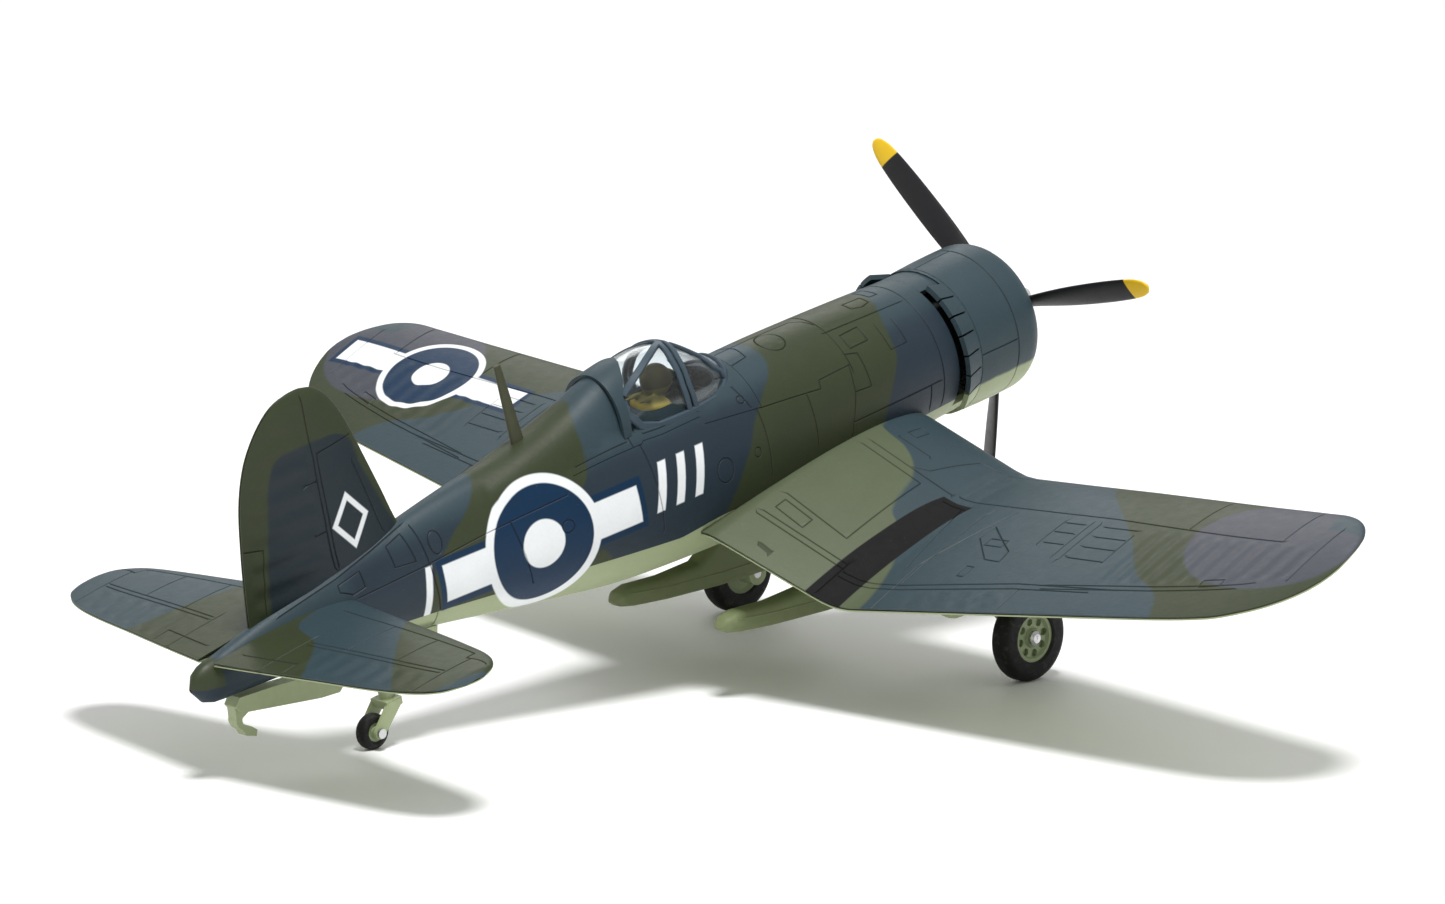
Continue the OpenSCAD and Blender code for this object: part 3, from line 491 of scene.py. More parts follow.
def color(r, g, b):
    """Screen colour 0-255 to the linear colour that nodes use."""
    def lin(c):
        c /= 255
        return c / 12.92 if c <= 0.04045 else ((c + 0.055) / 1.055) ** 2.4
    return (lin(r), lin(g), lin(b), 1.0)


def over(base, top, share):
    """A colour laid over another by a share of 0 to 1."""
    node = new("ShaderNodeMix", data_type="RGBA")
    plug(node.inputs[0], share)
    plug(node.inputs[6], base)
    plug(node.inputs[7], top)
    return N(node.outputs[2])


def spray(base, top, distance, soft=0.12):
    """A colour laid over another where a signed distance is negative."""
    return over(base, top, 1.0 - rise(-soft, soft, distance))


def shade(base, amount):
    """A colour made lighter or darker by a factor."""
    node = new("ShaderNodeMix", data_type="RGBA", blend_type="MULTIPLY")
    node.inputs[0].default_value = 1.0
    plug(node.inputs[6], base)
    grey = new("ShaderNodeCombineColor")
    for s in grey.inputs[:3]:
        plug(s, amount)
    TREE.links.new(grey.outputs[0], node.inputs[7])
    return N(node.outputs[2])


def attribute(name):
    node = new("ShaderNodeAttribute", attribute_name=name)
    return N(node.outputs["Fac"])


def start(name):
    """A new material, and the aircraft coordinates of the shaded point in millimetres."""
    global TREE
    mat = bpy.data.materials.new(name)
    mat.use_nodes = True
    TREE = mat.node_tree
    TREE.nodes.clear()
    where = new("ShaderNodeTexCoord")
    turn = new("ShaderNodeMapping", vector_type="POINT")
    TREE.links.new(where.outputs["Object"], turn.inputs["Vector"])
    angle = math.atan2(SIN, COS)
    turn.inputs["Scale"].default_value = (1000, 1000, 1000)
    turn.inputs["Rotation"].default_value = (angle, 0, 0)
    turn.inputs["Location"].default_value = (
        0, -(MID_Y * COS - DROP * SIN), -(MID_Y * SIN + DROP * COS))
    parts = new("ShaderNodeSeparateXYZ")
    TREE.links.new(turn.outputs[0], parts.inputs[0])
    return mat, N(turn.outputs[0]), [N(parts.outputs[k]) for k in range(3)]


def surface(col, rough, height=None, depth_mm=0.02, metal=0.0, transmission=0.0, specular=0.3):
    """Ends the current material, with an optional bump of the given depth."""
    shader = new("ShaderNodeBsdfPrincipled")
    plug(shader.inputs["Base Color"], col)
    plug(shader.inputs["Roughness"], rough)
    plug(shader.inputs["Metallic"], metal)
    shader.inputs["IOR"].default_value = 1.45
    shader.inputs["Transmission Weight"].default_value = transmission
    shader.inputs["Specular IOR Level"].default_value = specular
    if height is not None:
        bump = new("ShaderNodeBump")
        bump.inputs["Strength"].default_value = 1.0
        bump.inputs["Distance"].default_value = depth_mm / 1000
        plug(bump.inputs["Height"], height)
        TREE.links.new(bump.outputs[0], shader.inputs["Normal"])
    end = new("ShaderNodeOutputMaterial")
    TREE.links.new(shader.outputs[0], end.inputs[0])


# ===== Paint ====================================================================================
# The second blue is the first darkened as painted shade, for the fuselage's sides and the tail's underside.
BLUE, BLUE_SHADED = color(49, 65, 71), color(36, 48, 58)
OLIVE, OLIVE_LIGHT = color(51, 58, 38), color(82, 90, 68)
SLATE, PURPLE = color(32, 42, 48), color(64, 67, 75)
SKY = color(154, 164, 128)
ROUNDEL_BLUE, WHITE = color(4, 40, 68), color(226, 229, 230)
BLACK = color(19, 19, 20)


def paint(mat_name, scheme):
    """Sprayed enamel over a casting: a scheme's colours, with mottling, painted shade in the grooves and fine
    grain.
    """
    mat, vec, (x, y, z) = start(mat_name)
    drift = (noise(vec, 0.35, 3) - 0.5) * 0.9
    col, matte = scheme(x, y, z, drift, vec), 0.0
    if isinstance(col, tuple):
        col, matte = col
    mottle = 1.0 + (noise(vec, 0.22, 4, 0.6) - 0.5) * 0.16 + (noise(vec, 2.4, 3) - 0.5) * 0.07
    groove = attribute("groove")
    # Painted shade: the colour is darkened by how deep the point lies in a groove.
    col = shade(shade(col, mottle), 1.0 - groove * 0.62)
    col = over(col, color(150, 152, 140), rise(0.70, 0.76, noise(vec, 3.1, 2, 0.7)) * 0.10)
    roughness = 0.44 + (noise(vec, 0.8, 3) - 0.5) * 0.16 + groove * 0.2 + matte * 0.4
    surface(col, roughness, noise(vec, 9.0, 3, 0.6) + noise(vec, 1.6, 2) * 1.5, 0.012)
    return mat


def roundel(col, along, across, blue_bar, white_bar, radii, tilt=0.0):
    """A disc with bars: white, blue and white rings over a blue bar with a white one on it."""
    blue_across = across + along * tilt if tilt else across
    col = spray(col, ROUNDEL_BLUE, mx(ab(blue_across) - blue_bar[1], ab(along) - blue_bar[0]))
    col = spray(col, WHITE, mx(ab(across) - white_bar[1], ab(along) - white_bar[0]))
    r = root(along * along + across * across)
    for top, radius in zip((WHITE, ROUNDEL_BLUE, WHITE), radii):
        col = spray(col, top, r - radius)
    return col


def side_marks(col, y, z):
    """The roundel with bars on the side of the fuselage."""
    return roundel(col, y - 90.8, z - 0.7, (15.3, 3.25), (14.5, 2.35), (8.4, 7.25, 3.0), 0.004)


# Every scheme takes the aircraft coordinates in millimetres, a drift that blurs the sprayed edges, and
# the same coordinates as a vector.
def fuselage_scheme(x, y, z, drift, vec):
    """Blue with two olive bands; below the top the blue is darkened as painted shade."""
    col = spray(BLUE, BLUE_SHADED, z - 7.5 + drift, 1.6)
    nose = curve(z, [(-6, 37), (-0.4, 34.9), (2.3, 33.2), (4.3, 31.9), (6.6, 31.5), (8.8, 30.2),
                     (10.6, 26.8)])
    cockpit = curve(z, [(-6, 63.4), (-1.1, 60.3), (1.9, 58.2), (4.1, 56.7), (6.5, 53.9), (8.6, 50.7),
                        (10, 49.7), (11.4, 49.8)])
    deck = curve(z, [(-8, 80.0), (-3.5, 82.0), (-2.4, 86.0), (0.5, 90), (5, 84.0), (6.8, 82.1), (9, 81.5),
                     (12, 81.0), (14, 79.1)])
    tail = curve(z, [(-8, 113), (-3, 108.6), (2.0, 106.6), (5.1, 103.7), (8.6, 98.6), (11, 96.0)])
    for front, back in ((nose, cockpit), (deck, tail)):
        col = spray(col, OLIVE, mx(front - y, y - back) + drift * 0.5, 0.35)
    col = side_marks(col, y, z)
    # plain number-like blocks: three slanted white bars
    for centre in (66.6, 69.6, 72.6):
        lean = y - centre + (z - 1.6) * 0.28
        col = spray(col, WHITE, mx(ab(lean) - 0.62, ab(z - 1.6) - 3.0))
    # white band round the tail
    col = spray(col, WHITE, mx(ab(y - 107.2 + (3.3 - z) * -0.19) - 0.48, ab(z + 0.4) - 4.0))
    # The top of the tail keeps the lighter, unshaded blue.
    col = over(col, BLUE, rise(117, 120, y + drift) * rise(2.0, 4.0, z))
    return over(col, OLIVE, rise(138.0, 138.5, y + drift * 0.3))


def belly_scheme(x, y, z, drift, vec):
    col = over(SKY, side_marks(SKY, y, z), rise(82, 83, y))
    # The tail's underside gets the blue darkened as painted shade.
    return over(col, BLUE_SHADED, rise(129.5, 130.5, y + (z + 1.5) * 0.8 + drift))


def cowl_scheme(x, y, z, drift, vec):
    return spray(BLUE, SKY, z + 4.6 - drift * 0.6, 0.3)


def pale_under(col):
    """The pale underside of a wing or tailplane."""
    return over(col, SKY, rise(0.4, 0.6, attribute("under")))


def wing_scheme(x, y, z, drift, vec):
    """Bands of light olive, blue, olive and purple, from the root out; also where it is matte."""
    out = ab(x)
    inner = curve(y, [(28, 9), (36.8, 9.3), (37.7, 13.7), (41.2, 18.2), (47.7, 20.6), (49.2, 22.8),
                      (58.9, 28.7), (66, 29.4)])
    col = spray(BLUE, OLIVE_LIGHT, out - inner + drift * 0.5, 0.35)
    mid = curve(y, [(30, 42.6), (32.8, 44.7), (39.4, 52.3), (44.1, 58.0), (50.2, 64.3), (52.9, 69.3),
                    (57.2, 72.4), (60, 74)])
    col = over(col, OLIVE, rise(-0.35, 0.35, out - mid + drift * 0.5))
    da, db = out - 78.5, (y - 40.5) * (1.0 / 0.77)
    col = spray(col, PURPLE, mx(root(da * da + db * db) - 12.6, 32.5 - y) + drift * 0.5, 0.35)
    col = spray(col, BLUE, mx(83.0 - out + (y - 34.0) * 0.35, y - 37.5) + drift * 0.3, 0.35)
    mark = roundel(col, x - 71.2, y - 42.4, (17.6, 2.9), (16.8, 2.1), (7.5, 6.6, 2.6))
    col = over(col, mark, rise(40, 41, x))  # on the port wing only
    # black anti-slip strip on each inner wing
    strip = curve(y, [(39, 27.4), (42, 25.4), (52, 24.3), (64.5, 23.9)])
    walk = 1.0 - rise(-0.1, 0.1, mx(ab(out - strip) - 2.4, 41.2 - y))
    col = over(col, shade(BLACK, 0.7 + noise(vec, 7.0, 2) * 0.6), walk)
    return pale_under(col), walk


def stab_scheme(x, y, z, drift, vec):
    out = ab(x)

    def beyond(points):
        return rise(-0.35, 0.35, out - curve(y, points) + drift * 0.4)

    col = over(OLIVE, BLUE, beyond([(118, 1.0), (124, 2.2), (127.9, 3.9), (130.1, 9.2), (136.3, 14.3),
                                    (139, 16)]))
    col = over(col, OLIVE, beyond([(118, 13.2), (120.1, 14.5), (128.8, 22.0), (134.6, 27.8), (138, 31)]))
    col = over(col, BLUE, rise(34.2, 34.8, out + (y - 128) * 0.22))
    port = over(OLIVE, BLUE, beyond([(118, 12.6), (129, 15.4), (139, 18.2)]))
    return pale_under(over(col, port, rise(-0.2, 0.2, x)))


def fin_scheme(x, y, z, drift, vec):
    edge = curve(z, [(6, 128.9), (7.4, 128.7), (15.2, 127.2), (21.5, 125.4), (23.4, 123.0)])
    front = curve(z, [(6, 107.0), (12, 109.6), (18, 112.0), (22, 113.2), (23.4, 118)])
    col = spray(OLIVE, SLATE, mx(y - edge, front - y, z - 23.4) + drift * 0.4, 0.35)
    # a plain white hollow diamond
    d = ab(y - 115.3) * 1.25 + ab(z - 12.3)
    return spray(col, WHITE, mx(d - 3.6, 2.5 - d) * 0.7)


def plain(name, base, rough, amount=0.12, scale=0.8, depth=0.012, metal=0.0, dust=0.0, extra=None):
    """A single-colour finish with tone variation, fine grain and optional dust."""
    mat, vec, (x, y, z) = start(name)
    tone = 1.0 + (noise(vec, scale, 4, 0.6) - 0.5) * amount * 2 + (noise(vec, scale * 9, 2) - 0.5) * amount
    col = shade(base, tone)
    if extra:
        col = extra(col, x, y, z)
    if dust:
        col = over(col, color(150, 145, 130), rise(0.5, 0.75, noise(vec, 0.9, 5, 0.7)) * dust)
    surface(col, rough + (noise(vec, scale * 2, 3) - 0.5) * 0.18, noise(vec, 8.0, 3, 0.65), depth, metal)
    return mat


def blade_tip(col, x, y, z):
    """Yellow tips."""
    return over(col, color(232, 190, 40), rise(24.3, 24.5, root(z * z + x * x)))


def pilot_colours(col, x, y, z):
    """A yellow vest and a dark helmet."""
    col = spray(col, color(206, 176, 52), mx(z - 9.4, 6.4 - z, 64.6 - y), 0.3)
    return over(col, color(74, 68, 34), rise(10.6, 10.9, z))


def clear_plastic(name):
    """The canopy's glass, with faint smears."""
    mat, vec, _ = start(name)
    surface(color(240, 246, 248), 0.03 + noise(vec, 1.5, 3) * 0.05, noise(vec, 0.6, 2), 0.01,
            transmission=1.0)
    return mat


M_FUSELAGE = paint("fuselage_paint", fuselage_scheme)
M_BELLY = paint("belly_paint", belly_scheme)
M_COWL = paint("cowl_paint_worn", cowl_scheme)
M_WING = paint("wing_paint_worn", wing_scheme)
M_STAB = paint("tailplane_paint", stab_scheme)
M_FIN = paint("fin_paint", fin_scheme)
M_FRAME = plain("canopy_frame_paint", color(60, 74, 84), 0.4)
M_SKY = plain("pale_green_enamel", SKY, 0.45, 0.10)
# The pylons' pale green, darkened as painted shade: a shaded copy of the underside's green.
M_PYLON_SHADED = plain("pylon_pale_green_painted_shade", color(112, 121, 86), 0.5, 0.12)
M_TYRE = plain("tyre_black", color(17, 17, 18), 0.62, 0.25, 0.6, 0.03, dust=0.10)
M_WHEEL = plain("wheel_green_enamel", color(140, 152, 118), 0.42, 0.12)
M_STEEL = plain("pin_steel", color(196, 196, 198), 0.25, 0.10, metal=1.0)
M_HUB = plain("hub_pale_grey", color(178, 182, 182), 0.38, 0.10)
M_ENGINE = plain("engine_grey_wash", color(96, 100, 102), 0.45, 0.30, 1.4, metal=0.35, dust=0.08)
M_DARK = plain("dark_moulding", color(30, 31, 32), 0.5, 0.2)
M_COCKPIT = plain("cockpit_green", color(96, 104, 72), 0.55, 0.2)
M_MAST = plain("mast_olive", color(66, 68, 50), 0.5, 0.15)
M_BLADE = plain("blade_black", color(34, 34, 36), 0.42, 0.15, extra=blade_tip)
M_PILOT = plain("pilot_olive_brown", color(112, 104, 44), 0.5, 0.25, extra=pilot_colours)
M_GLASS = clear_plastic("clear_canopy")


# ===== Skins ====================================================================================
def body_row(y):
    """Section of the fuselage at y, drawn in to a rounded end behind the last row."""
    y = np.asarray(y, float)
    row = smooth_row(BODY, y)
    s = np.clip((y - BODY_END) / (TAIL_TIP - BODY_END), 0, 1)
    k = np.sqrt(np.maximum(1 - (s * math.sin(math.radians(84)))**2, 0))
    mid = row[..., 4]
    out = row.copy()
    out[..., 1] *= k
    out[..., 2] = mid + (row[..., 2] - mid) * k
    out[..., 3] = mid + (row[..., 3] - mid) * k
    return out


def seam_of(y):
    """Angle from the top at which the upper casting ends."""
    row = smooth_row(BODY, y)
    s = linear_row(SEAM, y)[..., 1]
    return np.arccos(np.clip((s - row[..., 4]) / (row[..., 4] - row[..., 3]), -0.99, 0.99))


K = 18.0  # plane height of half the upper band, and of half the lower one


def body_at(y, angle):
    """Point of the fuselage at y and an angle from the top."""
    row = body_row(y)
    c = np.cos(angle)
    up, down = row[..., 2] - row[..., 4], row[..., 4] - row[..., 3]
    return np.stack([row[..., 1] * np.sin(angle), np.asarray(y, float) + 0 * c,
                     row[..., 4] + np.where(c > 0, up, down) * c], -1)


def spine_lift(p):
    """Raises the skin to the fairing behind the pilot's head, with a soft foot."""
    x, y, z = p[..., 0], p[..., 1], p[..., 2]
    row = smooth_row(SPINE, y)
    q = np.clip(1 - (x / row[..., 1])**2, 0, 1)
    f = 6 + (row[..., 2] - 6) * q**0.4
    f = np.where((y < 73.9) | (y > 96) | (z < 6.2) | (np.abs(x) > row[..., 1]), -50.0, f)
    k = 0.5
    h = np.clip(0.5 + 0.5 * (f - z) / k, 0, 1)
    out = p.copy()
    out[..., 2] = z * (1 - h) + f * h + k * h * (1 - h)
    return out


def upper_point(u, v):
    return body_at(u, v / K * seam_of(u))


def spine_point(u, v):
    p = upper_point(u, v)
    return np.where((u > 83.0)[..., None], spine_lift(p), p)


def deck_point(u, v):
    return spine_lift(upper_point(u, v))


def lower_point(u, v):
    s = seam_of(u)
    return body_at(u, s + (v + K) / (2 * K) * (2 * np.pi - 2 * s))


def side_v(y, z, port=False):
    """Plane height on the upper band of the point at y and z on one side."""
    row = body_row(y)
    d = z - row[4]
    c = d / ((row[2] - row[4]) if d > 0 else (row[4] - row[3]))
    a = math.acos(max(-1, min(1, c)))
    return (K if port else -K) * a / float(seam_of(y))


def top_v(y, x):
    """Plane height on the upper band of the point at y and x."""
    row = body_row(y)
    return K * math.asin(max(-0.999, min(0.999, x / row[1]))) / float(seam_of(y))


def side(*pts):
    """A groove drawn at (y, z) on both sides of the fuselage."""
    return [[[y, side_v(y, z, port)] for y, z in pts] for port in (False, True)]


def top(*pts):
    """A groove drawn at (x, y) on the top of the fuselage."""
    return [[[y, top_v(y, x)] for x, y in pts]]


def ring(y, z_low):
    """A groove over the fuselage at y, down to a height on both sides."""
    v = side_v(y, z_low)
    return [[[y, v], [y, -v]]]


def circle(cy, cv, ry, rv, n=20):
    """A round groove, given on the plane."""
    turns = [2 * math.pi * k / n for k in range(n + 1)]
    return [[cy + ry * math.cos(a), cv + rv * math.sin(a)] for a in turns]


def span(a, b, step):
    """Even steps from a to b."""
    return np.linspace(a, b, max(2, int(round((b - a) / step)) + 1))


def stations(*runs):
    """Runs of stations as one sorted run without repeats."""
    return np.unique(np.concatenate(runs))


# Outline of the cockpit deck: (y, z) of its edge on one side
DECK_SIDE = [(54.7, 5.4), (63.55, 6.35), (63.7, 7.25), (72.9, 7.4), (73.3, 7.15), (84.2, 6.9)]
deck_edge = ([[54.5, 0.0]] + [[y, side_v(y, z)] for y, z in DECK_SIDE] + [[83.9, 0.0]]
             + [[y, side_v(y, z, True)] for y, z in DECK_SIDE[::-1]])
deck_edge = resample(deck_edge + [deck_edge[0]], 1.2)[:-1].tolist()

fuselage_lines = (
    side((39.5, 5.5), (44.9, 5.4), (45.1, 4.4), (54.7, 5.35)) + ring(39.3, 4.8) + ring(25.2, -4.8)
    + side((39.3, 6.7), (37.4, 6.3), (37.4, 2.1), (40.2, 2.3), (39.9, 4.0), (39.6, 5.4))
    + side((40.2, 2.3), (41.4, -1.5), (42.0, -4.8)) + side((25.9, -1.3), (41.4, -1.3))
    + side((29.5, 7.7), (29.5, 5.0), (32.4, 5.0), (32.4, 7.7))
    + side((34.8, 8.5), (34.8, 7.0), (38.0, 7.0), (38.0, 8.5), (34.8, 8.5))
    + side((55.5, 5.0), (55.5, -3.0)) + side((27.6, -1.3), (27.6, -4.6)) + side((47.5, 4.6), (47.5, -2.0))
    + top((-4.3, 26.2), (-4.3, 39.6)) + top((-2.4, 39.5), (-0.7, 40.1), (0.4, 41.1))
    + top((4.3, 26.2), (4.3, 39.6)) + top((0.4, 41.1), (0.4, 53.6))
    + top((-0.8, 29.7), (-2.4, 29.7), (-2.8, 31.2), (-2.4, 32.8), (-0.8, 32.8), (-0.8, 29.7))
    + top((-1.5, 27.3), (1.6, 27.3), (1.6, 28.7), (-1.5, 28.7), (-1.5, 27.3))
    + top((2.4, 52.0), (-0.3, 51.2), (-2.8, 51.7), (-3.1, 54.2))
    + side((107.3, 8.6), (106.3, -2.2))
    + side((111.5, 7.5), (109.0, 8.2), (108.5, 4.7), (111.5, 5.0), (111.5, 7.5))
    + side((119.6, 5.6), (116.2, 6.2), (116.2, 4.3), (118.1, 4.0), (119.7, 4.8), (119.6, 5.6))
    + side((117.4, 3.4), (107.4, 3.8), (98.1, 4.6), (86.0, 5.2)) + side((94.6, 4.8), (92.6, -4.2))
    + side((73.6, 7.0), (73.0, -4.0)) + side((128.4, 4.9), (119.5, 6.3), (113.7, 7.6), (108.2, 8.9))
    + side((121.5, 3.0), (121.5, -0.6)) + side((134.0, 3.0), (134.0, 0.4))
    + [circle(105.2, side_v(105.2, 6.0), 0.9, 1.6), circle(46.7, top_v(46.7, -2.0), 1.8, 2.0)]
    + [circle(87.0, side_v(87.0, 1.6), 0.9, 0.6), circle(87.0, -side_v(87.0, 1.6), 0.9, 0.6)]
    + [circle(57.4, side_v(57.4, 0.6), 0.5, 0.5), circle(62.8, side_v(62.8, 0.2), 1.3, 1.2)]
)

FLAPS_END = 22.4  # the fuselage's full skin starts behind the cowl flaps
FLAP_FROM, FLAP_TO = 28, 130  # degrees from the top between which each side has flaps
upper = Sheet()
patch(upper, spine_point, span(FLAPS_END, TAIL_TIP, 1.0), span(-K, K, 1.0), fuselage_lines, [deck_edge],
      thick=0.8, outward=-1)
gap = math.radians(FLAP_FROM - 2)
patch(upper, lambda u, v: body_at(u, v / K * gap), span(18.8, FLAPS_END, 0.9), span(-K, K, 2.0), thick=0.8,
      outward=-1)
upper.finish("upper_fuselage_skin", M_FUSELAGE, replaces=["upper_fuselage"], slot="upper_paint")


CANOPY_K = 9.0  # plane height of half the canopy; beyond it the sheet hangs straight down


def canopy_point(u, v, rows=CANOPY):
    """Point of the canopy, or of the hood when that table is given."""
    row = smooth_row(rows, u)
    t = v / CANOPY_K
    a = np.clip(t, -1, 1) * np.pi / 2
    x = row[..., 1] * np.sign(np.sin(a)) * np.abs(np.sin(a))**0.95
    z = SILL_Z + (row[..., 2] - SILL_Z) * np.clip(np.cos(a), 0, 1)**0.9
    z = z - np.maximum(np.abs(t) - 1, 0) * CANOPY_K
    return np.stack([x, u + 0 * t, z], -1)


# Front rim of the hood, on the plane
HOOD_RIM = [(70.3, 0), (70.8, 1.3), (72.5, 4.2), (73.0, 4.8), (73.6, 5.7), (73.7, 7.5), (73.9, 9.8)]
opening = []  # of the cockpit: a rounded rectangle
for k in range(32):
    ca, sa = math.cos(2 * math.pi * k / 32), math.sin(2 * math.pi * k / 32)
    y = 64.4 + math.copysign(abs(ca)**0.45, ca) * 7.0
    opening.append([y, top_v(y, math.copysign(abs(sa)**0.45, sa) * 4.3)])
deck_lines = (
    side((74.5, 12.8), (74.8, 10.5), (74.6, 7.3)) + ring(73.4, 8.6)
    + side((63.9, 7.9), (72.4, 8.1)) + side((57.0, 8.4), (56.2, 6.0))
    + side((75.2, 8.0), (83.2, 7.7)) + top((-2.4, 56.0), (2.4, 56.0))
    + [circle(57.0, side_v(57.0, 7.1), 0.55, 0.45), circle(57.0, -side_v(57.0, 7.1), 0.55, 0.45)]
)
inset = [[54.6 + (p[0] - 54.6) * 0.998 + 0.06, p[1] * 0.992] for p in deck_edge]


def in_deck(m):
    return inside(m, inset) & ~inside(m, opening)


# Outlines that the triangles follow: grooves with no depth
deck = Sheet()
patch(deck, deck_point, span(53.5, 85.3, 0.8), span(-14.0, 14.0, 0.7),
      deck_lines + [(outline + [outline[0]], 0.02, 0.0) for outline in (opening, inset)], keep=in_deck,
      thick=0.7, outward=-1)
hood_edge = ([[u, -v] for u, v in HOOD_RIM[::-1]] + [list(p) for p in HOOD_RIM[1:]]
             + [[75.2, 9.8], [75.1, 5.0], [74.8, 0.0], [75.1, -5.0], [75.2, -9.8]])
patch(deck, lambda u, v: canopy_point(u, v, HOOD), span(69.5, 77.5, 0.5), span(-10.2, 10.2, 0.5),
      [(hood_edge + [hood_edge[0]], 0.02, 0.0)], keep=lambda m: inside(m, hood_edge), thick=0.5, outward=-1)
deck.finish("cockpit_deck_skin", M_FUSELAGE, replaces=["cockpit_deck"], slot="upper_paint")

# ----- Wing and belly -----
WING_K = 30.0  # plane height of one side of a wing or tail section, from leading to trailing edge


def wing_row(x):
    """Wing section at a distance out; rounded at the gull bend and the middle, smooth near the tip."""
    a = np.abs(x)
    f = linear_row(WING, a)
    lo, hi = linear_row(WING, np.abs(a - 2.2)), linear_row(WING, np.minimum(a + 2.2, 90.8))
    near = ((np.abs(a - 25.4) < 4.4) | (a < 4.4))[..., None]
    return np.where(near, (lo + 2 * f + hi) / 4, np.where((a > 70)[..., None], smooth_row(WING, a), f))


def chord_at(row, v):
    """Chord fraction, and y, at plane height v of a wing or tail section."""
    q = run_to_chord(np.clip(np.abs(v) / WING_K, 0, 1))
    return q, row[..., 1] + (row[..., 2] - row[..., 1]) * q


def v_at(row, y):
    """Plane height of the point at y on a wing or tail section."""
    return WING_K * float(chord_to_run(min(1.0, max(0.0, (y - row[1]) / (row[2] - row[1])))))


def wing_point(u, v):
    """Point of the wing at distance out u (negative to starboard); v is above 0 on the upper skin."""
    row = wing_row(u)
    q, y = chord_at(row, v)
    t = row[..., 5] * (row[..., 2] - row[..., 1])
    edge = EDGE_T / 2 * q
    lift = np.where(v >= 0, t * section_half(q) * 1.08 + edge, -t * section_half(q) * 0.92 - edge)
    return np.stack([u + 0 * q, y, row[..., 3] + (row[..., 4] - row[..., 3]) * q + lift], -1)


def wing_v(x, y):
    return v_at(wing_row(np.array(float(x))), y)


def wl(*pts):
    """A groove drawn at (distance out, y) on both upper wings."""
    return [[[s * x, wing_v(x, y)] for x, y in pts] for s in (-1, 1)]


def wbox(x0, x1, y0, y1):
    """A rectangular groove on both upper wings."""
    return wl((x0, y0), (x1, y0), (x1, y1), (x0, y1), (x0, y0))


wing_lines = (
    wl((10.7, 40.3), (23.6, 40.3)) + wl((10.4, 55.2), (19.9, 55.2), (19.8, 41.7))
    + wl((10.4, 41.6), (19.8, 41.6))
    + wl((10, 60.3), (22.6, 59.0)) + wl((10.3, 59.4), (22.6, 58.1)) + wbox(10.9, 15.2, 56.1, 57.9)
    + wl((22.6, 58.0), (22.6, 63.7)) + wl((22.9, 59.3), (32.0, 58.2), (48.6, 54.8), (63.4, 53.4))
    + wl((22.9, 60.2), (32.0, 59.1), (48.6, 55.8), (60.0, 54.5)) + wl((31.6, 42.2), (31.6, 57.8))
    + wl((35.6, 41.4), (31.0, 53.9), (31.1, 63.0)) + wl((49.6, 55.8), (49.4, 59.8))
    + wl((35.4, 44.7), (41.8, 49.2), (42.3, 51.4), (39.6, 51.3), (35.1, 47.3), (35.4, 44.7))
    + wl((24.8, 40.0), (52.0, 40.0), (80.0, 40.9)) + wl((52.8, 54.3), (68.6, 51.8), (82.0, 48.7))
    + wl((52.6, 55.1), (68.0, 52.7), (80.0, 50.2)) + wl((64.4, 32.4), (64.2, 40.3))
    + wl((80.0, 33.6), (79.8, 40.8))
    + wl((17.1, 40.1), (19.0, 38.9), (21.2, 32.4), (29.6, 30.9)) + wl((50.4, 41.5), (50.4, 49.3))
    + wl((49.0, 41.2), (49.0, 49.0)) + wl((57.3, 43.0), (57.3, 49.0)) + wl((44.6, 41.6), (44.6, 47.0))
    + wl((51.4, 48.8), (57.3, 48.8)) + wl((52.0, 46.4), (57.0, 46.4)) + wl((52.0, 44.2), (57.0, 44.2))
    + wl((51.6, 42.0), (57.0, 42.0)) + wl((45.4, 46.5), (48.6, 46.5)) + wl((45.0, 44.1), (48.0, 44.1))
    + wl((45.0, 42.0), (48.0, 42.0)) + wbox(37.0, 40.0, 47.2, 48.6) + wbox(38.2, 39.4, 53.0, 55.0)
    + wl((27.0, 42.0), (29.6, 55.0))
    + wl((74.6, 49.6), (77.4, 48.9), (77.6, 50.1), (74.8, 50.8), (74.6, 49.6))
    + wl((86.2, 37.0), (86.0, 47.2)) + wl((12.0, 36.8), (17.0, 36.8)) + wbox(12.0, 13.4, 33.0, 35.2)
    + wl((23.8, 42.0), (27.2, 42.0))
    + [(line, 0.8, 0.35) for line in wl((13.4, 63.6), (14.9, 63.6))]
)


def ease(amount, soft=1.0):
    """0 below zero, 1 past the soft width."""
    return np.clip(amount / soft, 0, 1)


def wing_relief(u, v):
    """Fabric stretched over ribs behind the spar, and on the outer flap."""
    a = np.abs(u)
    row = wing_row(u)
    y = chord_at(row, v)[1]
    hinge = np.interp(a, [22, 32, 48.6, 63.4, 68, 82, 90], [59.2, 58.2, 55.0, 53.0, 52.2, 48.8, 46.5])
    panel = ease(a - 58.6, 1.2) * ease(86.5 - a, 1.2) * ease(y - 41.2) * ease(hinge - 0.6 - y)
    flap = ease(a - 33.0) * ease(49.0 - a) * ease(y - hinge - 1.4, 0.8) * ease(row[..., 2] - 0.6 - y, 0.8)
    ribs = 0.07 * np.cos(2 * np.pi * a / 2.7)
    flap_ribs = 0.08 * np.cos(2 * np.pi * (a + (y - 57) * 0.4) / 3.2)
    return ribs * panel + flap_ribs * flap


# Outline of the well that a main wheel folds into, and the grooves of the underside
WELL = [(22.0, 31.5), (29.0, 31.5), (29.0, 53.0), (27.6, 56.0), (25.5, 56.8), (23.4, 56.0), (22.0, 53.0)]
WELL_DEPTH = 2.6
UNDER_LINES = [[(32, 58.2), (48.6, 54.8), (63.4, 53.4)], [(52.8, 54.3), (68.6, 51.8), (82.0, 48.7)],
               [(31.6, 31.5), (31.6, 62.6)], [(34, 40.0), (80.0, 40.9)], [(49.4, 40), (49.4, 59.8)]]


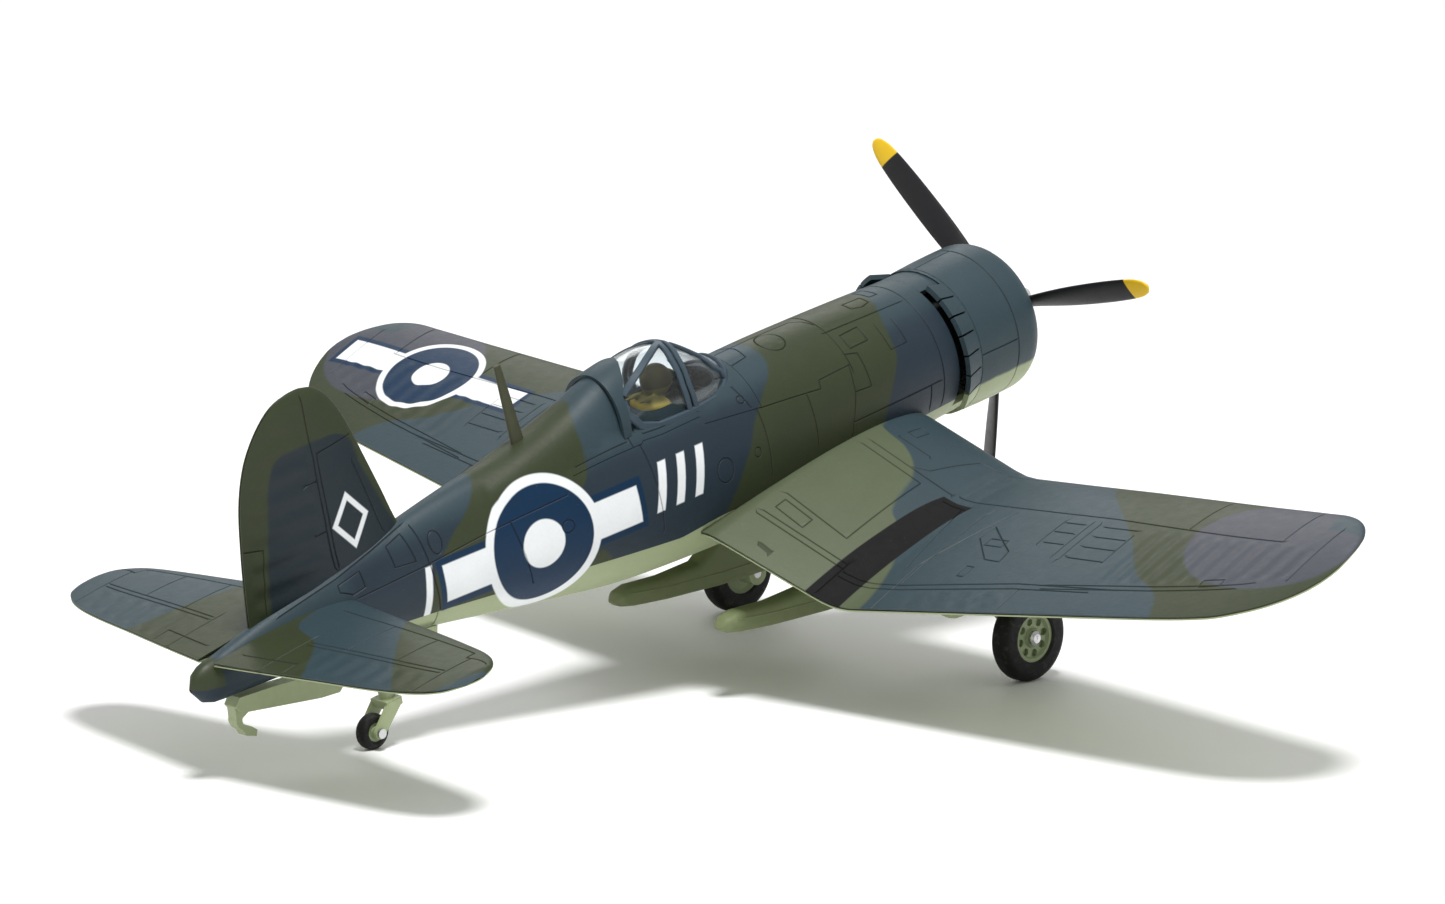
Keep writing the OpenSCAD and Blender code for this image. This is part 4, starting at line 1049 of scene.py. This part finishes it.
wing = Sheet()
v_half = stations([0, 0.25, 0.5, 0.8, 1.2, 1.7, 2.3, 3.0], span(3.8, WING_K, 1.05))
for s in (-1, 1):
    xs = stations(span(0, 20, 1.2), span(20, 31, 0.6), span(31, 58, 1.0), span(58, 87, 0.45),
                  [87.5, 88, 88.5, 89, 89.4, 89.8, 90.1, 90.4, 90.6, 90.72, 90.8])
    xs = xs if s > 0 else -xs[::-1]
    lines = [l for l in wing_lines if np.sign(np.array(l[0] if isinstance(l, tuple) else l)[0][0]) == s]
    patch(wing, wing_point, xs, v_half, lines, thick=0.18, relief=wing_relief, facing=(0, 0, 1))
    hole = resample([[s * x, -wing_v(x, y)] for x, y in WELL + WELL[:1]], 1.0)[:-1].tolist()
    under_lines = [[[s * x, -wing_v(x, y)] for x, y in pts] for pts in UNDER_LINES]
    coarse = xs[::2] if len(xs) % 2 else np.append(xs[::2], xs[-1])
    patch(wing, wing_point, coarse, -v_half[::-1], under_lines, [hole], thick=0.18, under=1.0,
          facing=(0, 0, -1))
    # pocket that the wheel folds into
    rim = wing_point(np.array([p[0] for p in hole]), np.array([p[1] for p in hole]))
    roof = rim.copy()
    roof[:, 2] = rim[:, 2] + WELL_DEPTH
    n = len(rim)
    box = np.concatenate([rim, roof, [roof.mean(0)]])
    tris = [t for k in range(n) for t in ([k, (k + 1) % n, k + n], [(k + 1) % n, (k + 1) % n + n, k + n],
                                          [k + n, (k + 1) % n + n, 2 * n])]
    wing.add_flat(box, tris, under=1.0)
wing.finish("wing_skin", M_WING, replaces=["wing_and_belly"], slot="wing_paint")

belly = Sheet()
patch(belly, lower_point, span(FLAPS_END, TAIL_TIP, 1.4), span(-K, K, 1.2),
      [[[40.0, -K], [40.0, K]], [[107.0, -K], [106.6, K]], [[70.0, -9], [70.0, 9]], [[24.0, 0], [44.0, 0]]],
      thick=0.8, outward=-1)
lower_gap = math.radians(FLAP_TO + 3)
patch(belly, lambda u, v: body_at(u, lower_gap + (v + K) / (2 * K) * (2 * math.pi - 2 * lower_gap)),
      span(18.8, FLAPS_END, 0.9), span(-K, K, 2.0), thick=0.8, outward=-1)
belly.finish("belly_skin", M_BELLY, slot="wing_paint")


# ----- Fin and tailplanes -----
def fin_point(u, v):
    """Point of the fin at height u; v is above 0 on the port skin."""
    row = smooth_row(FIN, u)
    q, y = chord_at(row, v)
    t = (2.3 - 1.1 * (u - 5) / 25) * section_half(q) + EDGE_T / 2 * q
    t = t * np.clip((30.1 - u) / 1.4, 0.02, 1)**0.5
    return np.stack([np.where(v >= 0, t, -t), y, u + 0 * q], -1)


def fl(*pts):
    """A groove drawn at (y, height) on both sides of the fin."""
    return [[[z, s * v_at(smooth_row(FIN, np.array(float(z))), y)] for y, z in pts] for s in (-1, 1)]


fin_lines = (fl((118.3, 7.5), (118.3, 21.8), (112.8, 22.2)) + fl((118.9, 7.5), (118.9, 21.4), (119.0, 29.0))
             + fl((113.3, 19.2), (110.7, 9.2)) + fl((130.9, 13.8), (128.3, 13.2), (129.6, 5.5))
             + fl((119.2, 12.2), (120.6, 12.2)) + fl((119.2, 18.6), (120.6, 18.6)))


def fin_relief(u, v):
    """Fabric over the rudder's ribs."""
    row = smooth_row(FIN, u)
    y = chord_at(row, v)[1]
    area = ease(y - 119.6) * ease(row[..., 2] - 0.8 - y) * ease(27.5 - u, 2)
    return 0.08 * np.cos(2 * np.pi * u / 3.0) * area


fin = Sheet()
fin_z = stations(span(4.0, 26, 0.7), [26.6, 27.2, 27.8, 28.3, 28.8, 29.2, 29.5, 29.75, 29.9, 30.0])
for s, vs in ((1, v_half), (-1, -v_half[::-1])):
    patch(fin, fin_point, fin_z, vs, [l for l in fin_lines if l[0][1] * s > 0], thick=0.15, outward=-1,
          relief=fin_relief, facing=(s, 0, 0))
fin.finish("fin_and_rudder_skin", M_FIN, replaces=["fin_and_rudder"], slot="tail_paint")


def stab_point(u, v):
    """Point of the tailplane at distance out u; v is above 0 on the upper skin."""
    row = smooth_row(STAB, np.abs(u))
    q, y = chord_at(row, v)
    t = (2.0 - 0.9 * (np.abs(u) - 0.5) / 35) * section_half(q) + EDGE_T / 2 * q
    t = t * np.clip((35.5 - np.abs(u)) / 1.4, 0.02, 1)**0.5
    return np.stack([u + 0 * q, y, STAB_Z + np.where(v >= 0, t, -t)], -1)


def stab_relief(u, v):
    """Fabric over the elevator's ribs."""
    a = np.abs(u)
    row = smooth_row(STAB, a)
    y = chord_at(row, v)[1]
    area = ease(y - 130.6) * ease(row[..., 2] - 0.6 - y) * ease(a - 11.5) * ease(31 - a, 2)
    return 0.07 * np.cos(2 * np.pi * a / 3.0) * area


def stab_lines(s, side_sign, lines):
    return [[[s * x, side_sign * v_at(smooth_row(STAB, np.array(float(x))), y)] for x, y in l] for l in lines]


STAB_LINES = [[(9.4, 130.3), (30.6, 128.7)], [(8.4, 129.4), (8.4, 138.0)],
              [(3.5, 136.2), (11.8, 135.0), (11.8, 137.4)],
              [(5.4, 122.0), (30.0, 123.4), (30.3, 125.0), (33.6, 124.9)], [(15.0, 122.4), (15.0, 130.0)],
              [(23.0, 123.0), (23.0, 129.3)], [(31.0, 124.8), (31.0, 133.8)], [(9.4, 131.0), (30.4, 129.4)]]
for s, label in ((-1, "starboard"), (1, "port")):
    tail = Sheet()
    xs = stations(span(1.4, 33, 0.7), [33.4, 33.9, 34.3, 34.6, 34.9, 35.1, 35.25, 35.35, 35.4])
    xs = xs if s > 0 else -xs[::-1]
    patch(tail, stab_point, xs, v_half, stab_lines(s, 1, STAB_LINES), thick=0.15, relief=stab_relief,
          facing=(0, 0, 1))
    patch(tail, stab_point, xs, -v_half[::-1], stab_lines(s, -1, STAB_LINES[:2]), thick=0.15, under=1.0,
          relief=stab_relief, facing=(0, 0, -1))
    tail.finish("tailplane_" + label + "_skin", M_STAB, replaces=["tailplane_" + label], slot="tail_paint")

# ----- Cowling -----
COWL_R = 9.9
MOUTH_R, LIP = 7.0, 1.5
lip = [(6.7 + LIP + LIP * math.cos(math.radians(a)), MOUTH_R + LIP + LIP * math.sin(math.radians(a)))
       for a in range(180, 271, 10)]
shoulder = [(COWL_R - 2.6 + 2.6 * math.cos(math.radians(a)), MOUTH_R + 2.9 + 2.9 * math.sin(math.radians(a)))
            for a in range(-62, 1, 6)]
# Profile of the cowling, (radius, y) from inside the mouth to the rear edge, and its length along it
COWL = np.array([(7.3, 10.6), (6.95, 9.6)] + lip + shoulder + [(9.92, 12.5), (9.88, 15.5), (9.75, 18.6)])
COWL_RUN = np.concatenate([[0], np.cumsum(np.hypot(*np.diff(COWL, axis=0).T))])


def cowl_point(u, v):
    r, y = np.interp(u, COWL_RUN, COWL[:, 0]), np.interp(u, COWL_RUN, COWL[:, 1])
    a = v / COWL_R
    return np.stack([r * np.sin(a), y, r * np.cos(a)], -1)


def cowl_u(y):
    """Length along the profile at which its outer side reaches y."""
    outer = (COWL_RUN > COWL_RUN[10]) & (COWL[:, 1] > 9.0)
    return float(np.interp(y, COWL[outer, 1], COWL_RUN[outer]))


cowl = Sheet()
end = math.pi * COWL_R
cowl_lines = [[[cowl_u(12.1), -end], [cowl_u(12.1), end]]]
for v in (0.4, -COWL_R * 1.62, COWL_R * 1.62, -COWL_R * 2.5, COWL_R * 2.5):
    cowl_lines.append([[cowl_u(12.3), v], [COWL_RUN[-1], v]])
cowl_us = stations(COWL_RUN[::2], span(COWL_RUN[16], COWL_RUN[-1], 0.8), [COWL_RUN[-1]])
patch(cowl, cowl_point, cowl_us, span(-end, end, 0.9), cowl_lines, thick=0.7, outward=-1)
cowl.finish("cowling_skin", M_COWL, replaces=["cowling"], slot="cowl_paint")


# ----- Canopy -----
glass = Sheet()
patch(glass, canopy_point, span(55.0, 74.0, 0.45), span(-10.2, 10.2, 0.45), thick=0.35, outward=-1)
glass.finish("canopy_glass_shell", M_GLASS, replaces=["canopy_glass"], slot="clear_plastic")


def strap(sheet, pts, width, lift=0.3):
    """A raised bar with rounded edges along a path on the canopy."""
    run = resample(pts, 0.5)
    p = canopy_point(run[:, 0], run[:, 1])
    n = normals_of(canopy_point, run[:, 0], run[:, 1], -1)
    b = unit(np.cross(n, unit(np.gradient(p, axis=0))))
    w, sink = width / 2, 0.25
    section = [(-w, -sink), (-w, lift * 0.55), (-w * 0.72, lift), (w * 0.72, lift), (w, lift * 0.55),
               (w, -sink)]
    rings = np.stack([p + b * c + n * h for c, h in section], 1)
    m, k = rings.shape[:2]
    verts = rings.reshape(-1, 3)
    tris = np.array(tube(m, k) + tube_ends(m, k))
    middle = rings.mean(1)[np.minimum(tris[:, 0] // k, m - 1)]
    if ((verts[tris].mean(1) - middle) * face_normals(verts, tris)).sum(1).mean() < 0:
        tris = tris[:, ::-1]
    sheet.add_flat(verts, tris)


frames = Sheet()
for s in (-1, 1):
    strap(frames, [[62.4, 0], [63.5, s * 4.1], [63.8, s * 7.2], [63.3, s * 10.2]], 0.75)
    strap(frames, [[63.4, 0], [64.5, s * 4.1], [64.8, s * 7.2], [64.4, s * 10.2]], 0.75)
    strap(frames, [[63.2, s * 0.4], [66.5, s * 2.2], [68.9, s * 3.3], [71.1, s * 4.2], [73.2, s * 5.0]],
          0.9 if s < 0 else 0.45, lift=0.3 if s < 0 else 0.12)
    strap(frames, [[62.0, s * 0.8], [59.0, s * 3.3], [58.3, s * 5.4], [57.3, s * 6.7], [56.7, s * 9.1]], 0.7)
    strap(frames, [[55.4, 0], [55.5, s * 4.2], [56.2, s * 7.4], [57.0, s * 9.1], [58.8, s * 10.1],
                   [64.0, s * 10.2], [69.6, s * 10.1], [72.0, s * 9.3], [73.7, s * 7.5], [73.6, s * 5.7]],
          1.0, lift=0.35)
frames.finish("canopy_frame_bars", M_FRAME, replaces=["canopy_frame"], slot="frame_paint")


# ----- Cowl flaps: seven flared plates a side, hung on a ring behind the cowling -----
FLAP_Y, FLAP_COUNT, FLAP_GAP = 18.6, 7, 0.7


def flap_point(u, v):
    r = 9.72 + 0.3 * np.maximum(u - FLAP_Y, 0)**1.05
    a = v / COWL_R
    return np.stack([r * np.sin(a), u + 0 * a, r * np.cos(a)], -1)


def ring_point(u, v):
    """The straight ring: the flaps' first radius, carried back."""
    return flap_point(FLAP_Y + 0 * u, v) + np.stack([0 * u, u - FLAP_Y, 0 * u], -1)


flaps = Sheet()
patch(flaps, ring_point, span(FLAP_Y, 19.1, 0.25), span(-end, end, 1.5), thick=0.6, outward=-1)
for k in range(FLAP_COUNT):
    a0, a1 = (math.radians(FLAP_FROM + (k + j) * (FLAP_TO - FLAP_FROM) / FLAP_COUNT + trim) * COWL_R
              for j, trim in ((0, FLAP_GAP), (1, -FLAP_GAP)))
    for s in (-1, 1):
        patch(flaps, flap_point, span(18.9, 21.9, 0.5), np.sort(s * span(a0, a1, 0.5)), thick=0.65,
              outward=-1)
flaps.finish("cowl_flap_plates", M_COWL, replaces=["cowl_flaps"], slot="cowl_paint")


# ----- Pylons under the centre section -----
# Side view of a pylon: (y, z) along its top and along its bottom
PYLON_TOP = np.array([[32.4, -14.6], [32.9, -9.0], [48.0, -9.6], [49.6, -12.5], [51.5, -16.2], [55.0, -18.0],
                      [61.0, -17.7], [66.4, -16.8], [68.6, -17.1], [69.4, -18.0]]).T
PYLON_LOW = np.array([[32.4, -15.4], [33.0, -19.2], [34.4, -22.0], [36.8, -23.4], [42.0, -23.7],
                      [52.0, -22.4], [61.0, -20.8], [66.4, -19.6], [68.6, -18.9], [69.4, -18.2]]).T
PYLON_X, PYLON_HALF = 9.7, 1.5
PYLON_YS = stations([32.4, 32.5, 32.7, 33.0, 33.4], span(34, 48, 0.8), span(48, 56, 0.5), span(56, 68, 0.8),
                    [68.4, 68.8, 69.1, 69.3, 69.4])


def pylon_ring(x, y):
    """Rounded outline of a pylon at y."""
    hi, lo = np.interp(y, *PYLON_TOP), np.interp(y, *PYLON_LOW)
    w = (PYLON_HALF * math.sqrt(max(0.02, min(1, (y - 32.35) / 1.6)))
         * math.sqrt(max(0.02, min(1, (69.5 - y) / 1.6))))
    half, mid = (hi - lo) / 2, (hi + lo) / 2
    corner = min(half, 1.3)
    outline = []
    for k in range(36):
        a = 2 * math.pi * (k + 0.5) / 36
        ca, sa = math.cos(a), math.sin(a)
        dz = math.copysign(max(0, half - corner), sa) + corner * math.copysign(abs(sa)**0.8, sa)
        outline.append((x + w * math.copysign(abs(ca)**0.6, ca), y, mid + dz))
    return outline


BEAD_R = 0.14
for s, label in ((-1, "starboard"), (1, "port")):
    body = Sheet()
    loft(body, [pylon_ring(s * PYLON_X, y) for y in PYLON_YS], 1.0)
    for dx in (-1, 1):
        # seam bead along each side
        loft(body, [[(s * PYLON_X + dx * (1.44 + BEAD_R * math.cos(a)), y,
                      np.interp(y, *PYLON_LOW) + 1.9 + BEAD_R * math.sin(a))
                     for a in np.linspace(0, 2 * math.pi, 7)[:-1]] for y in span(35, 67, 1.0)], 1.0)
    body.finish("pylon_" + label + "_body", M_PYLON_SHADED, replaces=["pylon_" + label], slot="gear_green")

# ----- Propeller blades -----
# Blade: radius, chord, angle to the disc in degrees, thickness
BLADE = [[2.3, 1.9, 52, 1.5], [3.6, 1.9, 50, 1.3], [5.0, 2.1, 48, 1.15], [8.5, 3.0, 41, 0.9],
         [13.0, 3.5, 33, 0.75], [18.0, 3.6, 27, 0.65], [22.5, 3.4, 23, 0.55], [25.6, 2.9, 20, 0.5],
         [26.8, 2.2, 19, 0.45], [27.4, 1.5, 18, 0.4], [27.7, 0.6, 18, 0.35]]
BLADES, PHASE = 3, math.radians(-43.3)


def blades():
    """The three blades as one piece that turns with the propeller."""
    sheet = Sheet()
    n = 20
    rows = smooth_row(BLADE, stations(span(2.3, 25, 0.8), [25.5, 26, 26.4, 26.8, 27.1, 27.35, 27.55, 27.7]))
    for k in range(BLADES):
        turn = -PHASE - k * 2 * math.pi / BLADES
        verts = []
        for radius, chord, angle, thick in rows:
            b = math.radians(angle)
            for i in range(n):
                a = 2 * math.pi * i / n
                px = chord / 2 * math.cos(a)
                py = thick / 2 * math.sin(a) * (1 + 0.25 * math.cos(a))
                across = px * math.cos(b) - py * math.sin(b)
                verts.append((across * math.cos(turn) + radius * math.sin(turn),
                              px * math.sin(b) + py * math.cos(b) + PROP_Y,
                              -across * math.sin(turn) + radius * math.cos(turn)))
        verts, tris = np.array(verts), np.array(tube(len(rows), n) + tube_ends(len(rows), n))
        normals = vertex_normals(verts, tris, face_normals(verts, tris))
        sheet.add(verts, tris, normals[tris], np.zeros(len(verts)), 0.0)
    sheet.finish("propeller_blades", M_BLADE, body="propeller", replaces=["prop_blades"],
                 slot="blade_plastic")


blades()


# ----- Pilot -----
def pilot():
    """A generic seated figure: ellipsoids melted into one skin."""
    bm = bmesh.new()

    def blob(centre, radii, lean=0.0):
        """An ellipsoid, leaning back by an angle."""
        made = bmesh.ops.create_icosphere(bm, subdivisions=4, radius=1.0)["verts"]
        for vert in made:
            x, y, z = (vert.co[k] * radii[k] for k in range(3))
            y, z = y * math.cos(lean) - z * math.sin(lean), y * math.sin(lean) + z * math.cos(lean)
            vert.co = (x + centre[0], y + centre[1], z + centre[2])

    blob((0, 64.4, 11.4), (1.85, 2.1, 2.1))            # helmeted head
    blob((0, 62.8, 10.9), (1.1, 0.7, 1.1))             # plain face
    blob((0, 62.2, 11.7), (1.15, 0.35, 0.45))          # goggles
    blob((0, 66.2, 6.0), (2.3, 1.7, 3.8))              # trunk
    blob((0, 65.8, 8.6), (3.3, 1.9, 1.3))              # shoulders
    for s in (-1, 1):
        blob((s * 2.7, 66.2, 7.2), (0.85, 0.9, 2.2), 0.5)
        blob((s * 1.9, 63.8, 5.6), (0.65, 2.0, 0.65), -0.1)
        blob((s * 1.4, 64.4, 2.0), (1.0, 3.2, 1.0))
        blob((s * 1.2, 67.2, 10.0), (0.35, 1.5, 0.3))
    mesh = bpy.data.meshes.new("pilot_body")
    for vert in bm.verts:
        vert.co = Vector(to_frame(vert.co))
    bm.to_mesh(mesh)
    bm.free()
    obj = place("pilot_body", mesh, M_PILOT, replaces=["pilot_figure"])
    remesh = obj.modifiers.new("one_skin", "REMESH")
    remesh.mode = "VOXEL"
    remesh.voxel_size = 0.00018
    soften = obj.modifiers.new("soften", "SMOOTH")
    soften.iterations = 3
    bpy.context.view_layer.update()
    graph = bpy.context.evaluated_depsgraph_get()
    done = bpy.data.meshes.new_from_object(obj.evaluated_get(graph))
    obj.modifiers.clear()
    obj.data = done
    done.polygons.foreach_set("use_smooth", np.ones(len(done.polygons), bool))
    if not done.materials:
        done.materials.append(M_PILOT)


pilot()

# ===== Finishes of the parts shown as they were designed ========================================
FINISHES = {
    M_SKY: ["main_leg_starboard", "main_leg_port", "gear_doors_starboard", "gear_doors_port", "tail_leg",
            "tail_doors", "arrestor_hook", "stand_socket"],
    M_TYRE: ["tyre_starboard", "tyre_port", "tail_tyre"],
    M_WHEEL: ["wheel_hub_starboard", "wheel_hub_port", "tail_wheel_hub"],
    M_STEEL: ["prop_pin", "axle_pin_starboard", "axle_pin_port", "tail_axle_pin", "belly_screws"],
    M_HUB: ["prop_hub"],
    M_ENGINE: ["crankcase", "front_cylinders", "rear_cylinders"],
    M_DARK: ["instrument_panel", "control_stick", "gunsight", "engine_bulkhead"],
    M_COCKPIT: ["cockpit_tub", "pilot_seat"],
    M_MAST: ["antenna_mast"],
}
for finish, names in FINISHES.items():
    for name in names:
        node = frame["nodes"][name]
        if not node.material_slots:
            node.data.materials.append(finish)
        for entry in node.material_slots:
            entry.material = finish

# ===== Studio ===================================================================================
floor_mesh = bpy.data.meshes.new("studio_floor")
HALF = 12  # metres
floor_mesh.from_pydata([(-HALF, -HALF, 0), (HALF, -HALF, 0), (HALF, HALF, 0), (-HALF, HALF, 0)], [],
                       [(0, 1, 2, 3)])
floor = bpy.data.objects.new("studio_floor", floor_mesh)
bpy.context.scene.collection.objects.link(floor)
white_table, table_vec, _ = start("white_table")
surface(shade(color(250, 250, 250), 1.0 - noise(table_vec, 0.002, 2) * 0.01), 0.6, specular=0.2)
floor_mesh.materials.append(white_table)

# Camera: a long lens that looks down a little, from behind on the starboard side
AZ, EL, ROLL = math.radians(226.592), math.radians(11.296), math.radians(0.496)
DIST, LENS, SENSOR = 0.86523, 176.43, 36  # metres, and millimetres for the camera's own sizes
TARGET = Vector((-0.009179, -0.0063, 0.0312))
away = Vector((math.sin(AZ) * math.cos(EL), -math.cos(AZ) * math.cos(EL), math.sin(EL)))
camera = bpy.data.objects.new("photo_camera", bpy.data.cameras.new("photo_camera"))
bpy.context.scene.collection.objects.link(camera)
eye = TARGET + away * DIST
right = Vector((0, 0, 1)).cross(away).normalized()
up = away.cross(right)
right, up = right * math.cos(ROLL) + up * math.sin(ROLL), up * math.cos(ROLL) - right * math.sin(ROLL)
camera.matrix_world = Matrix((
    (right.x, up.x, away.x, eye.x),
    (right.y, up.y, away.y, eye.y),
    (right.z, up.z, away.z, eye.z),
    (0, 0, 0, 1),
))
camera.data.sensor_width = SENSOR
camera.data.lens = LENS
camera.data.clip_end = 60
camera.data.dof.use_dof = False
bpy.context.scene.camera = camera


def lamp(name, where, aim, size, power):
    """A round soft lamp, aimed at a point."""
    light = bpy.data.lights.new(name, "AREA")
    light.shape = "DISK"
    light.size = size
    light.energy = power
    obj = bpy.data.objects.new(name, light)
    bpy.context.scene.collection.objects.link(obj)
    obj.location = where
    obj.rotation_euler = (Vector(aim) - Vector(where)).to_track_quat("-Z", "Y").to_euler()


# A hard key lamp above and behind to starboard, and a weak one from the far side
lamp("key_above", (-0.34, 0.25, 1.25), (0, 0, 0.02), 0.34, 17.0)
lamp("rim_behind", (0.9, -0.7, 0.9), (0, 0, 0.03), 0.7, 2.5)
world = bpy.data.worlds.new("studio_white")
bpy.context.scene.world = world
world.use_nodes = True
sky = world.node_tree.nodes["Background"]
sky.inputs[0].default_value = (1, 1, 1, 1)
sky.inputs[1].default_value = 0.5
bpy.context.scene.view_settings.view_transform = "Standard"
bpy.context.scene.view_settings.look = "None"
bpy.context.scene.view_settings.exposure = 0.0
